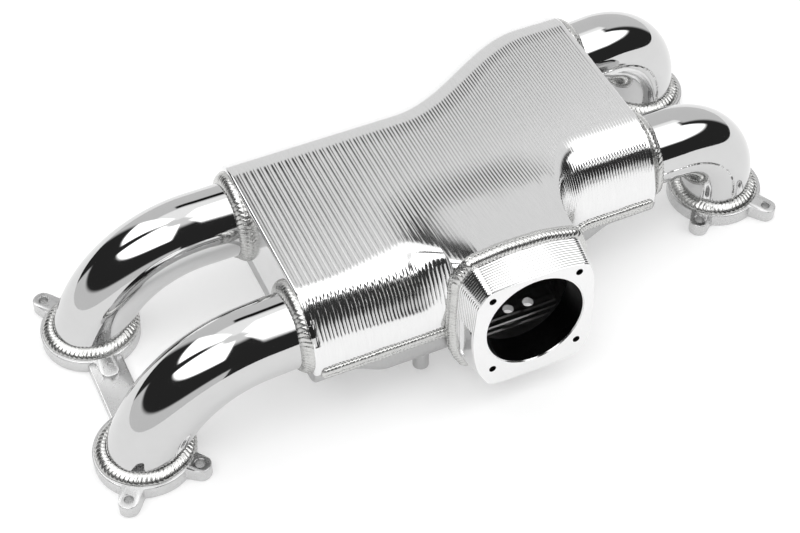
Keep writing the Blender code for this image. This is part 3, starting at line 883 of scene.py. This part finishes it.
@dataclass
class Bead:
    """A weld bead: an arched profile carried along a path, with the overlapping ripples of each puddle."""

    width: float
    height: float
    seed: int
    pitch: float = 2.5 * MM
    ripple: float = 0.50 * MM
    crescent: float = 0.75
    flatness: float = 1.25
    across_steps: int = 11

    def sweep(self, path: Array, first: Array, second: Array, closed: bool, taper: bool = False,
              lump: Array | None = None) -> MeshData:
        """The bead as a closed grid.

        A point is the path's corner, plus width * cos(a)^f along the first direction and height * sin(a)^f
        along the second, for a from 0 to 90 degrees, where f flattens the arch. The arch closes through the
        corner itself. Each puddle ends in a step, and sin(2a) bends the steps into crescents.

        Args:
            path: corner line that the bead fills, shaped (n, 3).
            first: outward direction on one side of the corner, shaped (n, 3).
            second: outward direction on the other side.
            closed: whether the path is a loop.
            taper: whether the bead shrinks to nothing at both ends.
            lump: swelling of the bead at each point of the path, or None.

        Returns:
            The bead's mesh data.
        """
        steps = np.linalg.norm(np.diff(path, axis=0, append=path[:1] if closed else path[-1:]), axis=1)
        length = steps.sum()
        travelled = np.concatenate([[0.0], np.cumsum(steps)[:-1]])
        ripples = max(round(length / self.pitch), 1)
        arch = np.linspace(0, np.pi / 2, self.across_steps)
        bulge = self.crescent * np.sin(2 * arch)
        phase = travelled[:, None] / length * ripples + bulge[None, :]
        whole = np.floor(phase)
        share = phase - whole
        draws = np.random.default_rng(self.seed).uniform(0.75, 1.25, ripples + 4)
        strength = draws[(whole % ripples).astype(int)]
        dime = self.ripple * strength * (1.0 - share ** 2.2) * np.sin(2 * arch) ** 0.5
        swell = 1.0 + 0.07 * value_noise(travelled, 11 * MM, self.seed + 7)
        if closed:
            blend = ease(travelled / length * 12) * ease((length - travelled) / length * 12)
            swell = 1.0 + (swell - 1.0) * blend
        if lump is not None:
            swell = swell * (1 + lump)
        if taper:
            ends = np.minimum(travelled, length - travelled)
            swell = swell * np.sqrt(np.clip(ends / (self.width * 1.2), 0.0, 1.0))
            dime = dime * np.clip(ends / (self.width * 1.2), 0.0, 1.0)[:, None]
        cosine, sine = np.clip(np.cos(arch), 0, 1) ** self.flatness, np.sin(arch) ** self.flatness
        wide = (self.width * swell)[:, None] * cosine + dime * np.cos(arch)
        tall = (self.height * swell)[:, None] * sine + dime * np.sin(arch)
        surface = path[:, None] + wide[..., None] * first[:, None] + tall[..., None] * second[:, None]
        root = path[:, None] - 0.6 * MM * (first + second)[:, None]
        loop = np.concatenate([surface, root], axis=1)
        if not closed:
            ends = [loop[:1].mean(axis=1, keepdims=True), loop[-1:].mean(axis=1, keepdims=True)]
            loop = np.concatenate([np.broadcast_to(ends[0], loop[:1].shape), loop,
                                   np.broadcast_to(ends[1], loop[:1].shape)])
        data = MeshData()
        data.add(loop, grid_faces(len(loop), loop.shape[1], wrap_rows=closed, wrap_columns=True))
        return data


def two_sided_bead(path: Array, out: Array, along: Array, closed: bool, **sizes: float) -> MeshData:
    """A bead on a surface: one arch on each side of its line, whose crescents run through both.

    Args:
        path: the bead's line.
        out: direction off the surface, one a point.
        along: direction on the surface across the line, one a point.
        closed: whether the line is a loop. An open bead is tapered.
        **sizes: fields of the bead.

    Returns:
        The bead's mesh data.
    """
    data = MeshData()
    for direction, crescent, winding in ((along, Bead.crescent, Winding.AS_LISTED),
                                         (-along, -Bead.crescent, Winding.REVERSED)):
        half = Bead(crescent=crescent, **sizes)
        data.join(half.sweep(path, out, direction, closed, taper=not closed), winding)
    return data


def lay_bead(name: str, data: MeshData, materials: dict, node: str) -> None:
    """Makes a bead's piece, which stands for one weld node."""
    settle(add_piece(name, outward_mesh(data, "bead"), [materials["weld"]], BEAD_SHARP), "weld_bead", node)


# ---------------------------------------------------------------- runner tubes

@dataclass
class Runner:
    """A polished tube from a head flange to the plenum, with a bead at each end."""

    label: str
    side: float
    foot: Array
    mouth: Array
    bend_radius: float
    lean: float
    outboard: float
    tube_radius: float = 25.4 * MM
    tube_wall: float = 1.6 * MM
    flange_top: float = 10 * MM
    lowest: float = 0.5 * MM
    bead_width: float = 6.6 * MM
    bead_pitch: float = 2.7 * MM
    bead_sunk: float = 0.4 * MM

    def centre_line(self, bend_steps: int = 110) -> tuple[Array, Array, Array]:
        """Centre line: straight up with a lean, one circular bend, then level to the plenum.

        Args:
            bend_steps: points on the bend.

        Returns:
            Points, unit tangents and the level sideways direction.
        """
        start = self.foot + np.array([self.side * self.outboard, 0.0, 0.0])
        inward = self.mouth - start
        inward[2] = 0.0
        inward = unit(inward)
        up = np.array([0.0, 0.0, 1.0])
        radius, lean, height = self.bend_radius, self.lean, self.mouth[2]
        rise = height - radius * (1 - np.sin(lean))
        along = rise * np.tan(lean)
        turn = (np.pi / 2 - lean) * np.linspace(1, 0, bend_steps)
        low = np.linspace(6 * MM, rise, 10)[:-1] if rise > 8 * MM else np.array([])
        straight = start + inward * (low * np.tan(lean))[:, None] + up * low[:, None]
        bend = (start + inward * (along + radius * (np.cos(lean) - np.sin(turn)))[:, None]
                + up * (rise + radius * (np.cos(turn) - np.sin(lean)))[:, None])
        end = self.mouth - np.array([self.side * 3 * MM, 0.0, 0.0])
        level = bend[-1] + (end - bend[-1]) * np.linspace(0, 1, 26)[1:, None]
        points = np.concatenate([straight, bend, level])
        tangents = unit(np.gradient(points, axis=0))
        return points, tangents, np.cross(up, inward)

    def tube(self) -> MeshData:
        """The tube's wall: circles round the centre line, an outer and an inner skin, closed by a rim.

        The tilted first circle is kept above the floor.
        """
        points, tangents, sideways = self.centre_line()
        across = np.broadcast_to(sideways, points.shape)
        upward = unit(np.cross(tangents, across))
        across = np.cross(upward, tangents)
        turn = np.linspace(0, 2 * np.pi, 129)
        ring = np.cos(turn)[None, :, None] * across[:, None] + np.sin(turn)[None, :, None] * upward[:, None]
        outer = points[:, None] + self.tube_radius * ring
        inner = points[:, None] + (self.tube_radius - self.tube_wall) * ring
        for skin in (outer, inner):
            skin[..., 2] = np.maximum(skin[..., 2], self.lowest)
        outer[:, -1], inner[:, -1] = outer[:, 0], inner[:, 0]
        keep = np.ones((len(points) - 1, len(turn) - 1), bool)
        return thick_skin(outer, inner, keep)

    def foot_bead(self) -> MeshData:
        """Bead on the flange's top, round the oval where the leaning tube stands."""
        points, tangents, _ = self.centre_line(400)
        level = self.flange_top
        nearest = int(np.argmin(np.abs(points[:, 2] - level)))
        centre, axis = points[nearest], tangents[nearest]
        turn = np.linspace(0, 2 * np.pi, 420, endpoint=False)
        flat = np.stack([np.cos(turn), np.sin(turn), np.zeros_like(turn)], axis=1)
        along = flat @ axis
        reach = self.tube_radius / np.sqrt(1 - along ** 2) - self.bead_sunk
        path = centre + flat * reach[:, None]
        path[:, 2] = level - 0.3 * MM
        wall = unit(axis - flat * along[:, None] * 0.5)
        bead = Bead(width=self.bead_width, height=5.2 * MM, pitch=self.bead_pitch, seed=11 + int(self.side))
        return bead.sweep(path, flat, wall, True)

    def mouth_bead(self) -> MeshData:
        """Bead in the corner between the tube and the plenum's end face, with a lump low on the front."""
        turn = np.linspace(0, 2 * np.pi, 440, endpoint=False)
        spoke = np.stack([np.zeros_like(turn), np.cos(turn), np.sin(turn)], axis=1)
        path = self.mouth + spoke * (self.tube_radius - self.bead_sunk)
        out = np.broadcast_to(np.array([self.side, 0.0, 0.0]), spoke.shape)
        off = (turn - np.radians(262) + np.pi) % (2 * np.pi) - np.pi
        lump = 0.45 * np.exp(-(off / np.radians(9)) ** 2)
        bead = Bead(width=self.bead_width, height=7.0 * MM, pitch=self.bead_pitch, seed=23 + int(self.side))
        return bead.sweep(path, spoke, out, True, lump=lump)

    def build(self, materials: dict) -> None:
        """Makes the tube and its two beads."""
        # The inner skin wears the inside finish: painted shade, near black for the unlit bore of the tube.
        tube = add_piece("tube_" + self.label, outward_mesh(self.tube(), "tube"),
                         [materials["polish"], materials["inside"]], 60.0)
        settle(tube, "polished_tube", "runner_tube_" + self.label)
        lay_bead("foot_bead_" + self.label, self.foot_bead(), materials, "flange_weld_" + self.label)
        lay_bead("mouth_bead_" + self.label, self.mouth_bead(), materials, "plenum_weld_" + self.label)


# ---------------------------------------------------------------- head flanges

@dataclass
class HeadFlange:
    """Two port discs with drilled ears, joined by a lower web."""

    name: str
    side: float
    centres: tuple
    disc_radius: float = 33.6 * MM
    bore: float = 23.8 * MM
    thickness: float = 10 * MM
    ear_radius: float = EAR_RADIUS
    ear_hole: float = 3.2 * MM
    bevel: float = 0.8 * MM
    web_half: float = 12 * MM
    web_top: float = 7 * MM

    def ears(self, front: bool) -> Array:
        """Ear centres of one port, from its own centre."""
        along = -1.0 if front else 1.0
        places = [(22.4, along * 34.6), (-27.9, along * 27.1)]
        if not front:
            places.append((0.0, -41.3))
        return np.array(places) * MM * np.array([self.side, 1.0])

    def disc_name(self, front: bool) -> str:
        """Name of one disc before the two are joined."""
        return f"{self.name}_{'front' if front else 'back'}"

    def outline(self, front: bool, steps: int = 480) -> tuple[Array, Array]:
        """Outline of one disc with its ears: the furthest of the disc and its ears, then smoothed.

        Args:
            front: whether this is the front port's disc.
            steps: number of angles.

        Returns:
            The angles, and the outline's reach at each.
        """
        turn = np.linspace(0, 2 * np.pi, steps, endpoint=False)
        reach = np.full(steps, self.disc_radius)
        for ear in self.ears(front):
            distance = np.hypot(*ear)
            swing = turn - np.arctan2(ear[1], ear[0])
            beside = distance * np.sin(swing)
            hit = (np.cos(swing) > 0) & (np.abs(beside) < self.ear_radius)
            far = distance * np.cos(swing) + np.sqrt(np.maximum(self.ear_radius ** 2 - beside ** 2, 0.0))
            reach = np.where(hit, np.maximum(reach, far), reach)
        window = np.hanning(13)
        padded = np.concatenate([reach[-6:], reach, reach[:6]])
        return turn, np.convolve(padded, window / window.sum(), "valid")

    def disc(self, front: bool, centre: Array) -> bpy.types.Object:
        """One disc: a ring profile whose outer side follows the outline, with bevelled edges.

        Args:
            front: whether this is the front port's disc.
            centre: the port's centre (x, y).

        Returns:
            The linked disc.
        """
        turn, reach = self.outline(front)
        curve = np.radians(np.linspace(0, 90, 5))
        high, bevel = self.thickness, self.bevel
        inset = [bevel * (1 - np.cos(a)) for a in curve[::-1]] + [bevel * (1 - np.cos(a)) for a in curve]
        levels = [bevel - bevel * np.sin(a) for a in curve[::-1]]
        levels += [high - bevel + bevel * np.sin(a) for a in curve]
        spokes = np.stack([np.cos(turn), np.sin(turn)], axis=1)
        rings = []
        for radius, z in ((self.bore, high), (self.bore, 0.0)):
            rings.append(np.column_stack([spokes * radius, np.full(len(turn), z)]))
        for pulled, z in zip(inset, levels):
            rings.append(np.column_stack([spokes * (reach - pulled)[:, None], np.full(len(turn), z)]))
        data = MeshData()
        points = np.stack(rings) + np.array([centre[0], centre[1], 0.0])
        data.add(points, grid_faces(len(rings), len(turn), wrap_rows=True, wrap_columns=True))
        return loose_piece(data, self.disc_name(front))

    def web(self) -> bpy.types.Object:
        """The web: a bar with eased top edges between the two discs."""
        (x, near_y), (_, far_y) = self.centres
        low, high = near_y + self.disc_radius - 5 * MM, far_y - self.disc_radius + 5 * MM
        curve = np.radians(np.linspace(0, 90, 4))
        round_off = 1.0 * MM
        right = [(self.web_half - round_off * (1 - np.cos(a)), self.web_top - round_off * (1 - np.sin(a)))
                 for a in curve]
        left = [(-across, z) for across, z in right[::-1]]
        section = np.array([(self.web_half, 0.0), *right, *left, (-self.web_half, 0.0)])
        rows = []
        for y, shrink in ((low, 0.0), (low, 1.0), (high, 1.0), (high, 0.0)):
            middle = np.array([0.0, self.web_top / 2])
            ring = middle + (section - middle) * shrink
            rows.append(np.column_stack([ring[:, 0] + x, np.full(len(ring), y), ring[:, 1]]))
        data = MeshData()
        data.add(np.stack(rows), grid_faces(4, len(section), wrap_columns=True))
        return loose_piece(data, "web")

    def build(self, materials: dict) -> None:
        """Joins the discs and the web, and drills the ears."""
        near, far = self.disc(True, self.centres[0]), self.disc(False, self.centres[1])
        carve(near, [self.web(), far], "UNION")
        drills = []
        for front, centre in ((True, self.centres[0]), (False, self.centres[1])):
            for ear in self.ears(front):
                x, y = centre[0] + ear[0], centre[1] + ear[1]
                drills.append(rod((x, y, -2 * MM), (x, y, 14 * MM), self.ear_hole))
                drills.append(rod((x, y, self.thickness - 0.5 * MM), (x, y, 14 * MM), self.ear_hole + 0.9 * MM))
        carve(near, drills)
        mesh = take_mesh(near)
        mesh.name = self.name
        piece = add_piece(self.name + "_plate", mesh, [materials["flange"]], 30.0)
        settle(piece, "head_flange", self.name)


# ---------------------------------------------------------------- throttle flange

@dataclass
class ThrottleFlange:
    """The thick square plate that carries the throttle body, and the bead behind it."""

    centre: Array
    depth: float = 23 * MM
    bore: float = 34.5 * MM
    bolt_square: float = 61 * MM
    bolt_radius: float = 2.5 * MM
    bolt_depth: float = 15 * MM
    bore_sides: int = 128
    edge_break: float = 0.7 * MM
    bevel: float = 0.4 * MM
    groove_count: int = 12
    groove_depth: float = 0.35 * MM

    def directions(self) -> tuple[Array, Array]:
        """The leaning plate's up and out directions."""
        return np.array([0.0, np.sin(LEAN), np.cos(LEAN)]), np.array([0.0, -np.cos(LEAN), np.sin(LEAN)])

    def place(self, local: Array) -> Array:
        """Turns (across, up, out) into world points: up leans back and out leans up by the lean."""
        across = np.array([1.0, 0.0, 0.0])
        up, out = self.directions()
        return self.centre + local[..., :1] * across + local[..., 1:2] * up + local[..., 2:] * out

    def at(self, x: float, y: float, z: float) -> Array:
        """World point of one (across, up, out) place."""
        return self.place(np.array([x, y, z]))

    @staticmethod
    def rounded(corners: Array, radii: Array, per_corner: int = 10) -> Array:
        """Closed outline through corners, each cut by a smooth curve.

        Each corner is replaced by a quadratic curve that starts and ends its radius away along its two
        sides: (1-t)^2 a + 2t(1-t) corner + t^2 b.

        Args:
            corners: points (x, y) in order round the outline.
            radii: how far each curve reaches along its sides.
            per_corner: points on a curve.

        Returns:
            The outline's points, shaped (n, 2).
        """
        before, after = np.roll(corners, 1, axis=0), np.roll(corners, -1, axis=0)
        start = corners + unit(before - corners) * radii[:, None]
        end = corners + unit(after - corners) * radii[:, None]
        t = np.linspace(0, 1, per_corner)[None, :, None]
        curve = (1 - t) ** 2 * start[:, None] + 2 * t * (1 - t) * corners[:, None] + t ** 2 * end[:, None]
        return curve.reshape(-1, 2)

    def face_outline(self) -> Array:
        """Outline of the front face."""
        corners = np.array([(37.7, 35.6), (20.0, 39.3), (-10.0, 39.6), (-33.0, 38.2), (-41.0, 28.0), (-44.4, 2.0),
                            (-44.0, -14.0), (-41.2, -30.0), (-33.5, -44.8), (-22.0, -46.5), (10.0, -46.3),
                            (34.0, -44.4), (40.6, -30.0), (42.6, 0.0), (41.6, 24.0)]) * MM
        return self.rounded(corners, self.corner_reach())

    def corner_reach(self) -> Array:
        """How far each corner's curve reaches along its sides."""
        return np.array([4, 8, 8, 3.6, 4.0, 6, 6, 6, 4, 5, 8, 8, 6, 8, 4]) * MM

    def rear_outline(self) -> Array:
        """Outline where the flange meets its bead: wider and higher than the face."""
        corners = np.array([(41.0, 38.0), (20.0, 43.5), (-10.0, 44.5), (-33.0, 42.0), (-43.5, 31.0), (-46.0, 2.0),
                            (-46.0, -14.0), (-45.0, -30.0), (-38.0, -44.8), (-24.0, -46.5), (10.0, -46.3),
                            (36.0, -44.4), (44.0, -30.0), (46.0, 0.0), (45.5, 26.0)]) * MM
        return self.rounded(corners, self.corner_reach())

    def body(self) -> MeshData:
        """The plate without holes: outlines blended from face to rear, with grooves round the sides."""
        share = np.linspace(0, 1, self.groove_count * 8 + 1)
        front, rear = self.face_outline(), self.rear_outline()
        inwards = -unit(front)
        rings = []
        phase = share * self.groove_count
        across = 2 * (phase - np.floor(phase)) - 1
        depth = self.groove_depth * (1 - across ** 2)
        weight = ease((front[:, 1] + 20 * MM) / (14 * MM))
        for t, groove in zip(share, depth):
            outline = front * (1 - t) + rear * t + inwards * (groove * weight)[:, None]
            level = -self.bevel - t * (self.depth - self.bevel)
            rings.append(np.column_stack([outline, np.full(len(outline), level)]))
        bevel = np.column_stack([front + inwards * self.bevel, np.zeros(len(front))])
        face = np.zeros_like(bevel)
        back = np.zeros_like(bevel)
        back[:, 2] = -self.depth
        grid = np.stack([face, bevel, *rings, back])
        data = MeshData()
        data.add(self.place(grid), grid_faces(len(grid), len(front), wrap_columns=True))
        return data

    def build(self, materials: dict) -> None:
        """Makes the plate, bores and drills it, and lays the bead behind it."""
        body = loose_piece(self.body(), "throttle_plate_blank")
        half, past = self.bolt_square / 2, 5 * MM
        tools = [rod(self.at(0, 0, past), self.at(0, 0, -self.depth - past), self.bore, self.bore_sides),
                 rod(self.at(0, 0, past), self.at(0, 0, -self.edge_break), self.bore + self.edge_break,
                     self.bore_sides)]
        for x in (-half, half):
            for y in (-half, half):
                tools.append(rod(self.at(x, y, past), self.at(x, y, -self.bolt_depth), self.bolt_radius, 32))
        notch = rod(self.at(-50 * MM, 4 * MM, -5 * MM), self.at(-40.5 * MM, 4 * MM, -5 * MM), 1.7 * MM, 3)
        carve(body, [*tools, self.pocket(), notch])
        mesh = take_mesh(body)
        # Slot 2 is the inside finish: painted shade, near black for the unlit bore.
        dressed = [materials[finish] for finish in ("ribbed", "face", "inside")]
        piece = add_piece("throttle_plate", mesh, dressed, 28.0)
        self.dress(mesh)
        settle(piece, "throttle_flange", "throttle_flange")
        lay_bead("throttle_bead", self.bead(), materials, "throttle_weld")

    def pocket(self) -> bpy.types.Object:
        """Block that mills the relief in the plate's left side."""
        corners = np.array([[x, y, z] for x in (-60, -43.7) for y in (-26, 6) for z in (-18, -2.5)], float) * MM
        faces = np.array([[0, 1, 3, 2], [4, 6, 7, 5], [0, 4, 5, 1], [2, 3, 7, 6], [0, 2, 6, 4], [1, 5, 7, 3]])
        data = MeshData()
        data.add(self.place(corners), faces)
        return loose_piece(data, "pocket")

    def dress(self, mesh: bpy.types.Mesh) -> None:
        """Gives the flat face its own finish and paints the bore near black as painted shade, by each face's
        direction and place.
        """
        count = len(mesh.polygons)
        normals, centres = np.zeros(count * 3), np.zeros(count * 3)
        mesh.polygons.foreach_get("normal", normals)
        mesh.polygons.foreach_get("center", centres)
        normals, centres = normals.reshape(-1, 3), centres.reshape(-1, 3) - self.centre
        up, out = self.directions()
        depth = centres @ out
        radius = np.hypot(centres[:, 0], centres @ up)
        slots = np.where((normals @ out > 0.97) & (depth > -0.3 * MM), 1, 0)
        # Bore faces get slot 2, the near-black painted shade.
        slots = np.where((radius < self.bore + 0.2 * MM) & (depth < -1.0 * MM), 2, slots)
        mesh.polygons.foreach_set("material_index", slots.astype(np.int32))

    def bead(self) -> MeshData:
        """Bead round the plate's rear outline."""
        outline = self.rear_outline()
        steps = np.linalg.norm(np.diff(outline, axis=0, append=outline[:1]), axis=1)
        travelled = np.concatenate([[0.0], np.cumsum(steps)])
        even = np.linspace(0, travelled[-1], 760, endpoint=False)
        ring = np.stack([np.interp(even, travelled, np.append(outline[:, k], outline[0, k])) for k in range(2)],
                        axis=1)
        outward = unit(np.roll(ring, -1, axis=0) - np.roll(ring, 1, axis=0))
        outward = np.column_stack([outward[:, 1], -outward[:, 0]])
        if (outward * ring).sum() < 0:
            outward = -outward
        behind = np.full(len(ring), -self.depth - 4.2 * MM)
        path = self.place(np.column_stack([ring - outward * 1.5 * MM, behind]))
        flat = self.place(np.column_stack([outward, np.zeros(len(ring))])) - self.centre
        front = np.broadcast_to(self.place(np.array([0.0, 0.0, 1.0])) - self.centre, flat.shape)
        return two_sided_bead(path, flat, front, True, width=5.6 * MM, height=4.8 * MM, pitch=2.6 * MM,
                              flatness=0.9, seed=41)


# ---------------------------------------------------------------- seam beads

@dataclass
class SeamWelds:
    """Beads along the seam between the two shells."""

    plenum: Plenum
    width: float = 3.8 * MM
    height: float = 2.2 * MM
    ripple: float = 0.60 * MM

    def lay(self, name: str, node: str, path: Array, outward: Array, materials: dict, seed: int) -> None:
        """Lays one bead along a line on the wall: an arch above the line and one below it.

        Args:
            name: name of the piece.
            node: the weld node that it stands for.
            path: the line.
            outward: the wall's outward direction at each point of the line.
            materials: finish name to material.
            seed: seed of the bead's ripples.
        """
        up = np.broadcast_to(np.array([0.0, 0.0, 1.0]), outward.shape)
        data = two_sided_bead(path, outward, up, False, width=self.height, height=self.width,
                              ripple=self.ripple, flatness=0.95, seed=seed)
        lay_bead(name, data, materials, node)

    def wall_line(self, low: float, high: float, back: bool) -> tuple[Array, Array]:
        """Points along the seam on one wall.

        Args:
            low: x of the first point.
            high: x of the last point.
            back: whether this is the back wall.

        Returns:
            The points, and the wall's outward direction at each.
        """
        x = np.linspace(low, high, int((high - low) / (0.45 * MM)))
        y = self.plenum.back(x) if back else self.plenum.front(x)
        path = np.column_stack([x, y, np.full_like(x, self.plenum.seam)])
        along = unit(np.gradient(path, axis=0))
        outward = np.column_stack([-along[:, 1], along[:, 0], np.zeros_like(x)])
        return path, outward if back else -outward

    def build(self, materials: dict) -> None:
        """Lays the three seam beads."""
        plenum = self.plenum
        runs = (("front_left", plenum.left + 4 * MM, plenum.neck_left - 3 * MM, False, 51),
                ("front_right", plenum.neck_right + 6 * MM, plenum.right - 2 * MM, False, 52),
                ("back", plenum.left + 3 * MM, plenum.right - 3 * MM, True, 53))
        for label, low, high, back, seed in runs:
            path, outward = self.wall_line(low, high, back)
            self.lay("seam_bead_" + label, "seam_weld_" + label, path, outward, materials, seed)


# ---------------------------------------------------------------- studio

@dataclass(frozen=True)
class Panel:
    """A bright, grey or dark panel of the studio, as a patch of directions in degrees.

    Its lower edge climbs in a straight line from low_from at turn_from to low_to at turn_to.
    """

    turn_from: float
    turn_to: float
    low_from: float
    low_to: float
    high: float
    level: float
    soft: float = 3.0


PANELS = (
    Panel(-200.0, 200.0, 70.0, 70.0, 95.0, 1.0, 6.0),
    Panel(-220.0, -50.0, -40.0, -40.0, 14.0, 0.80, 2.0),
    Panel(-20.0, 76.0, -40.0, -40.0, 56.0, 0.80, 4.0),
    Panel(-34.0, 66.0, 50.0, 54.0, 86.0, 1.3, 1.5),
    Panel(2.0, 20.0, 39.0, 39.0, 48.8, 0.012, 1.0),
    Panel(30.0, 120.0, 60.0, 60.0, 85.0, 2.2, 3.0),
    Panel(90.0, 157.0, 31.0, 40.0, 80.0, 2.4, 3.0),
    Panel(-169.0, -78.0, 43.0, 43.0, 79.0, 2.7, 2.0),
    Panel(-60.0, -19.0, 44.0, 30.0, 79.0, 2.7, 2.0),
)


BASE_LEVEL = 0.028


def make_world() -> None:
    """Studio surround: dark, with soft panels laid over it by compass turn and height."""
    world = bpy.data.worlds.new("studio")
    bpy.context.scene.world = world
    world.use_nodes = True
    nodes = Nodes(world.node_tree)
    background = world.node_tree.nodes["Background"]
    where = nodes.add("ShaderNodeTexCoord").outputs["Generated"]
    split = nodes.add("ShaderNodeSeparateXYZ", {0: where})
    turn = nodes.math("MULTIPLY", nodes.math("ARCTAN2", split.outputs[0], split.outputs[1]), 180 / np.pi)
    height = nodes.math("MULTIPLY", nodes.math("ARCSINE", split.outputs[2]), 180 / np.pi)
    total = nodes.math("ADD", BASE_LEVEL, 0.0)
    for panel in PANELS:
        climb = (panel.low_to - panel.low_from) / (panel.turn_to - panel.turn_from)
        base = nodes.math("MULTIPLY_ADD", turn, climb, panel.low_from - climb * panel.turn_from)
        left = nodes.smooth(turn, panel.turn_from - panel.soft, panel.turn_from + panel.soft)
        right = nodes.smooth(turn, panel.turn_to + panel.soft, panel.turn_to - panel.soft)
        below = nodes.smooth(nodes.math("SUBTRACT", height, base), -panel.soft, panel.soft)
        above = nodes.smooth(height, panel.high + panel.soft, panel.high - panel.soft)
        inside = nodes.math("MULTIPLY", nodes.math("MULTIPLY", left, right),
                            nodes.math("MULTIPLY", below, above))
        change = nodes.math("SUBTRACT", panel.level, total)
        total = nodes.math("MULTIPLY_ADD", inside, change, total)
    world.node_tree.links.new(total, background.inputs["Color"])
    background.inputs["Strength"].default_value = 1.0


def make_floor() -> None:
    """Plain pale floor."""
    data = MeshData()
    reach = 6.0
    corners = np.array([(-reach, -reach, 0.0), (reach, -reach, 0.0), (reach, reach, 0.0), (-reach, reach, 0.0)])
    data.add(corners + np.array([0.0, 0.0, -0.2 * MM]), np.array([[0, 1, 2, 3]]))
    material = bpy.data.materials.new("pale_floor")
    material.use_nodes = True
    shader = material.node_tree.nodes["Principled BSDF"]
    shader.inputs["Base Color"].default_value = (0.62, 0.62, 0.62, 1.0)
    shader.inputs["Emission Color"].default_value = (1.0, 1.0, 1.0, 1.0)
    shader.inputs["Emission Strength"].default_value = 0.42
    shader.inputs["Roughness"].default_value = 0.9
    shader.inputs["Specular IOR Level"].default_value = 0.1
    floor = add_piece("floor", data.mesh("floor"), [material])


def make_camera() -> None:
    """Camera that looks down over the throttle side, from the left."""
    camera = bpy.data.cameras.new("camera")
    camera.lens = 82.69
    camera.sensor_width = 36.0
    camera.clip_end = 50.0
    holder = bpy.data.objects.new("camera", camera)
    bpy.context.scene.collection.objects.link(holder)
    target = Vector((-26.6 * MM, -30.05 * MM, 43.1 * MM))
    back = Vector((-0.2781, -0.6130, 0.7395)).normalized()
    holder.location = target + back * 1.2393
    holder.rotation_euler = (-back).to_track_quat("-Z", "Y").to_euler()
    bpy.context.scene.camera = holder


# ---------------------------------------------------------------- assembly

def main() -> None:
    """Builds the studio and every sub-assembly, in order."""
    logging.basicConfig(level=logging.INFO, format="%(message)s")
    bpy.context.scene.view_settings.view_transform = "Standard"
    make_camera()
    make_world()
    make_floor()
    handling, grain = make_handling_group(), make_grain_group()
    materials = {name: finish.material(handling, grain) for name, finish in FINISHES.items()}

    upper_low, upper_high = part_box("plenum_upper_shell")
    plate_low, plate_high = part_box("throttle_flange")
    neck_middle = (plate_low.x + plate_high.x) / 2
    throttle = np.array([neck_middle, THROTTLE_Y + CENTRE_SHIFT, THROTTLE_Z])
    feet, mouths = {}, {}
    for side, side_name in ((-1.0, "left"), (1.0, "right")):
        for end in ("front", "back"):
            low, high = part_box(f"plenum_weld_{end}_{side_name}")
            wall_x = upper_low.x if side < 0 else upper_high.x
            mouths[end, side] = np.array([wall_x, (low.y + high.y) / 2, (low.z + high.z) / 2])
        low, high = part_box("head_flange_" + side_name)
        ear_reach = EAR_ALONG + EAR_RADIUS
        feet["front", side] = np.array([side * PORT_REACH, low.y + ear_reach, 0.0])
        feet["back", side] = np.array([side * PORT_REACH, high.y - ear_reach, 0.0])
    plenum = Plenum(left=upper_low.x, right=upper_high.x, top=PLENUM_TOP, seam=upper_low.z,
                    neck_left=neck_middle - NECK_HALF, neck_right=neck_middle + NECK_HALF, shift=CENTRE_SHIFT,
                    throttle=throttle, ports=tuple(tuple(mouth) for mouth in mouths.values()),
                    holes=VACUUM_HOLES)
    plenum.build(materials)
    for side, side_name in ((-1.0, "left"), (1.0, "right")):
        bend, lean, outboard = ((85 * MM, 15.0, 2 * MM) if side < 0 else (45 * MM, 3.5, 0.0))
        for end in ("front", "back"):
            Runner(f"{end}_{side_name}", side, feet[end, side], mouths[end, side], bend,
                   np.radians(lean), outboard).build(materials)
        HeadFlange("head_flange_" + side_name, side,
                   (tuple(feet["front", side][:2]), tuple(feet["back", side][:2]))).build(materials)
    ThrottleFlange(throttle).build(materials)
    SeamWelds(plenum).build(materials)


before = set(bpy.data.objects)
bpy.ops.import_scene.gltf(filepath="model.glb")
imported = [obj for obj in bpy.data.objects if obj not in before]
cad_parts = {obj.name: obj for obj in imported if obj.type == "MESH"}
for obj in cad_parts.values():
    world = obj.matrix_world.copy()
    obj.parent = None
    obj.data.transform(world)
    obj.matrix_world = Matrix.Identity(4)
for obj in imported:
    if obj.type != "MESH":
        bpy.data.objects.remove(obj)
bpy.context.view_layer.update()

if __name__ == "__main__":
    main()
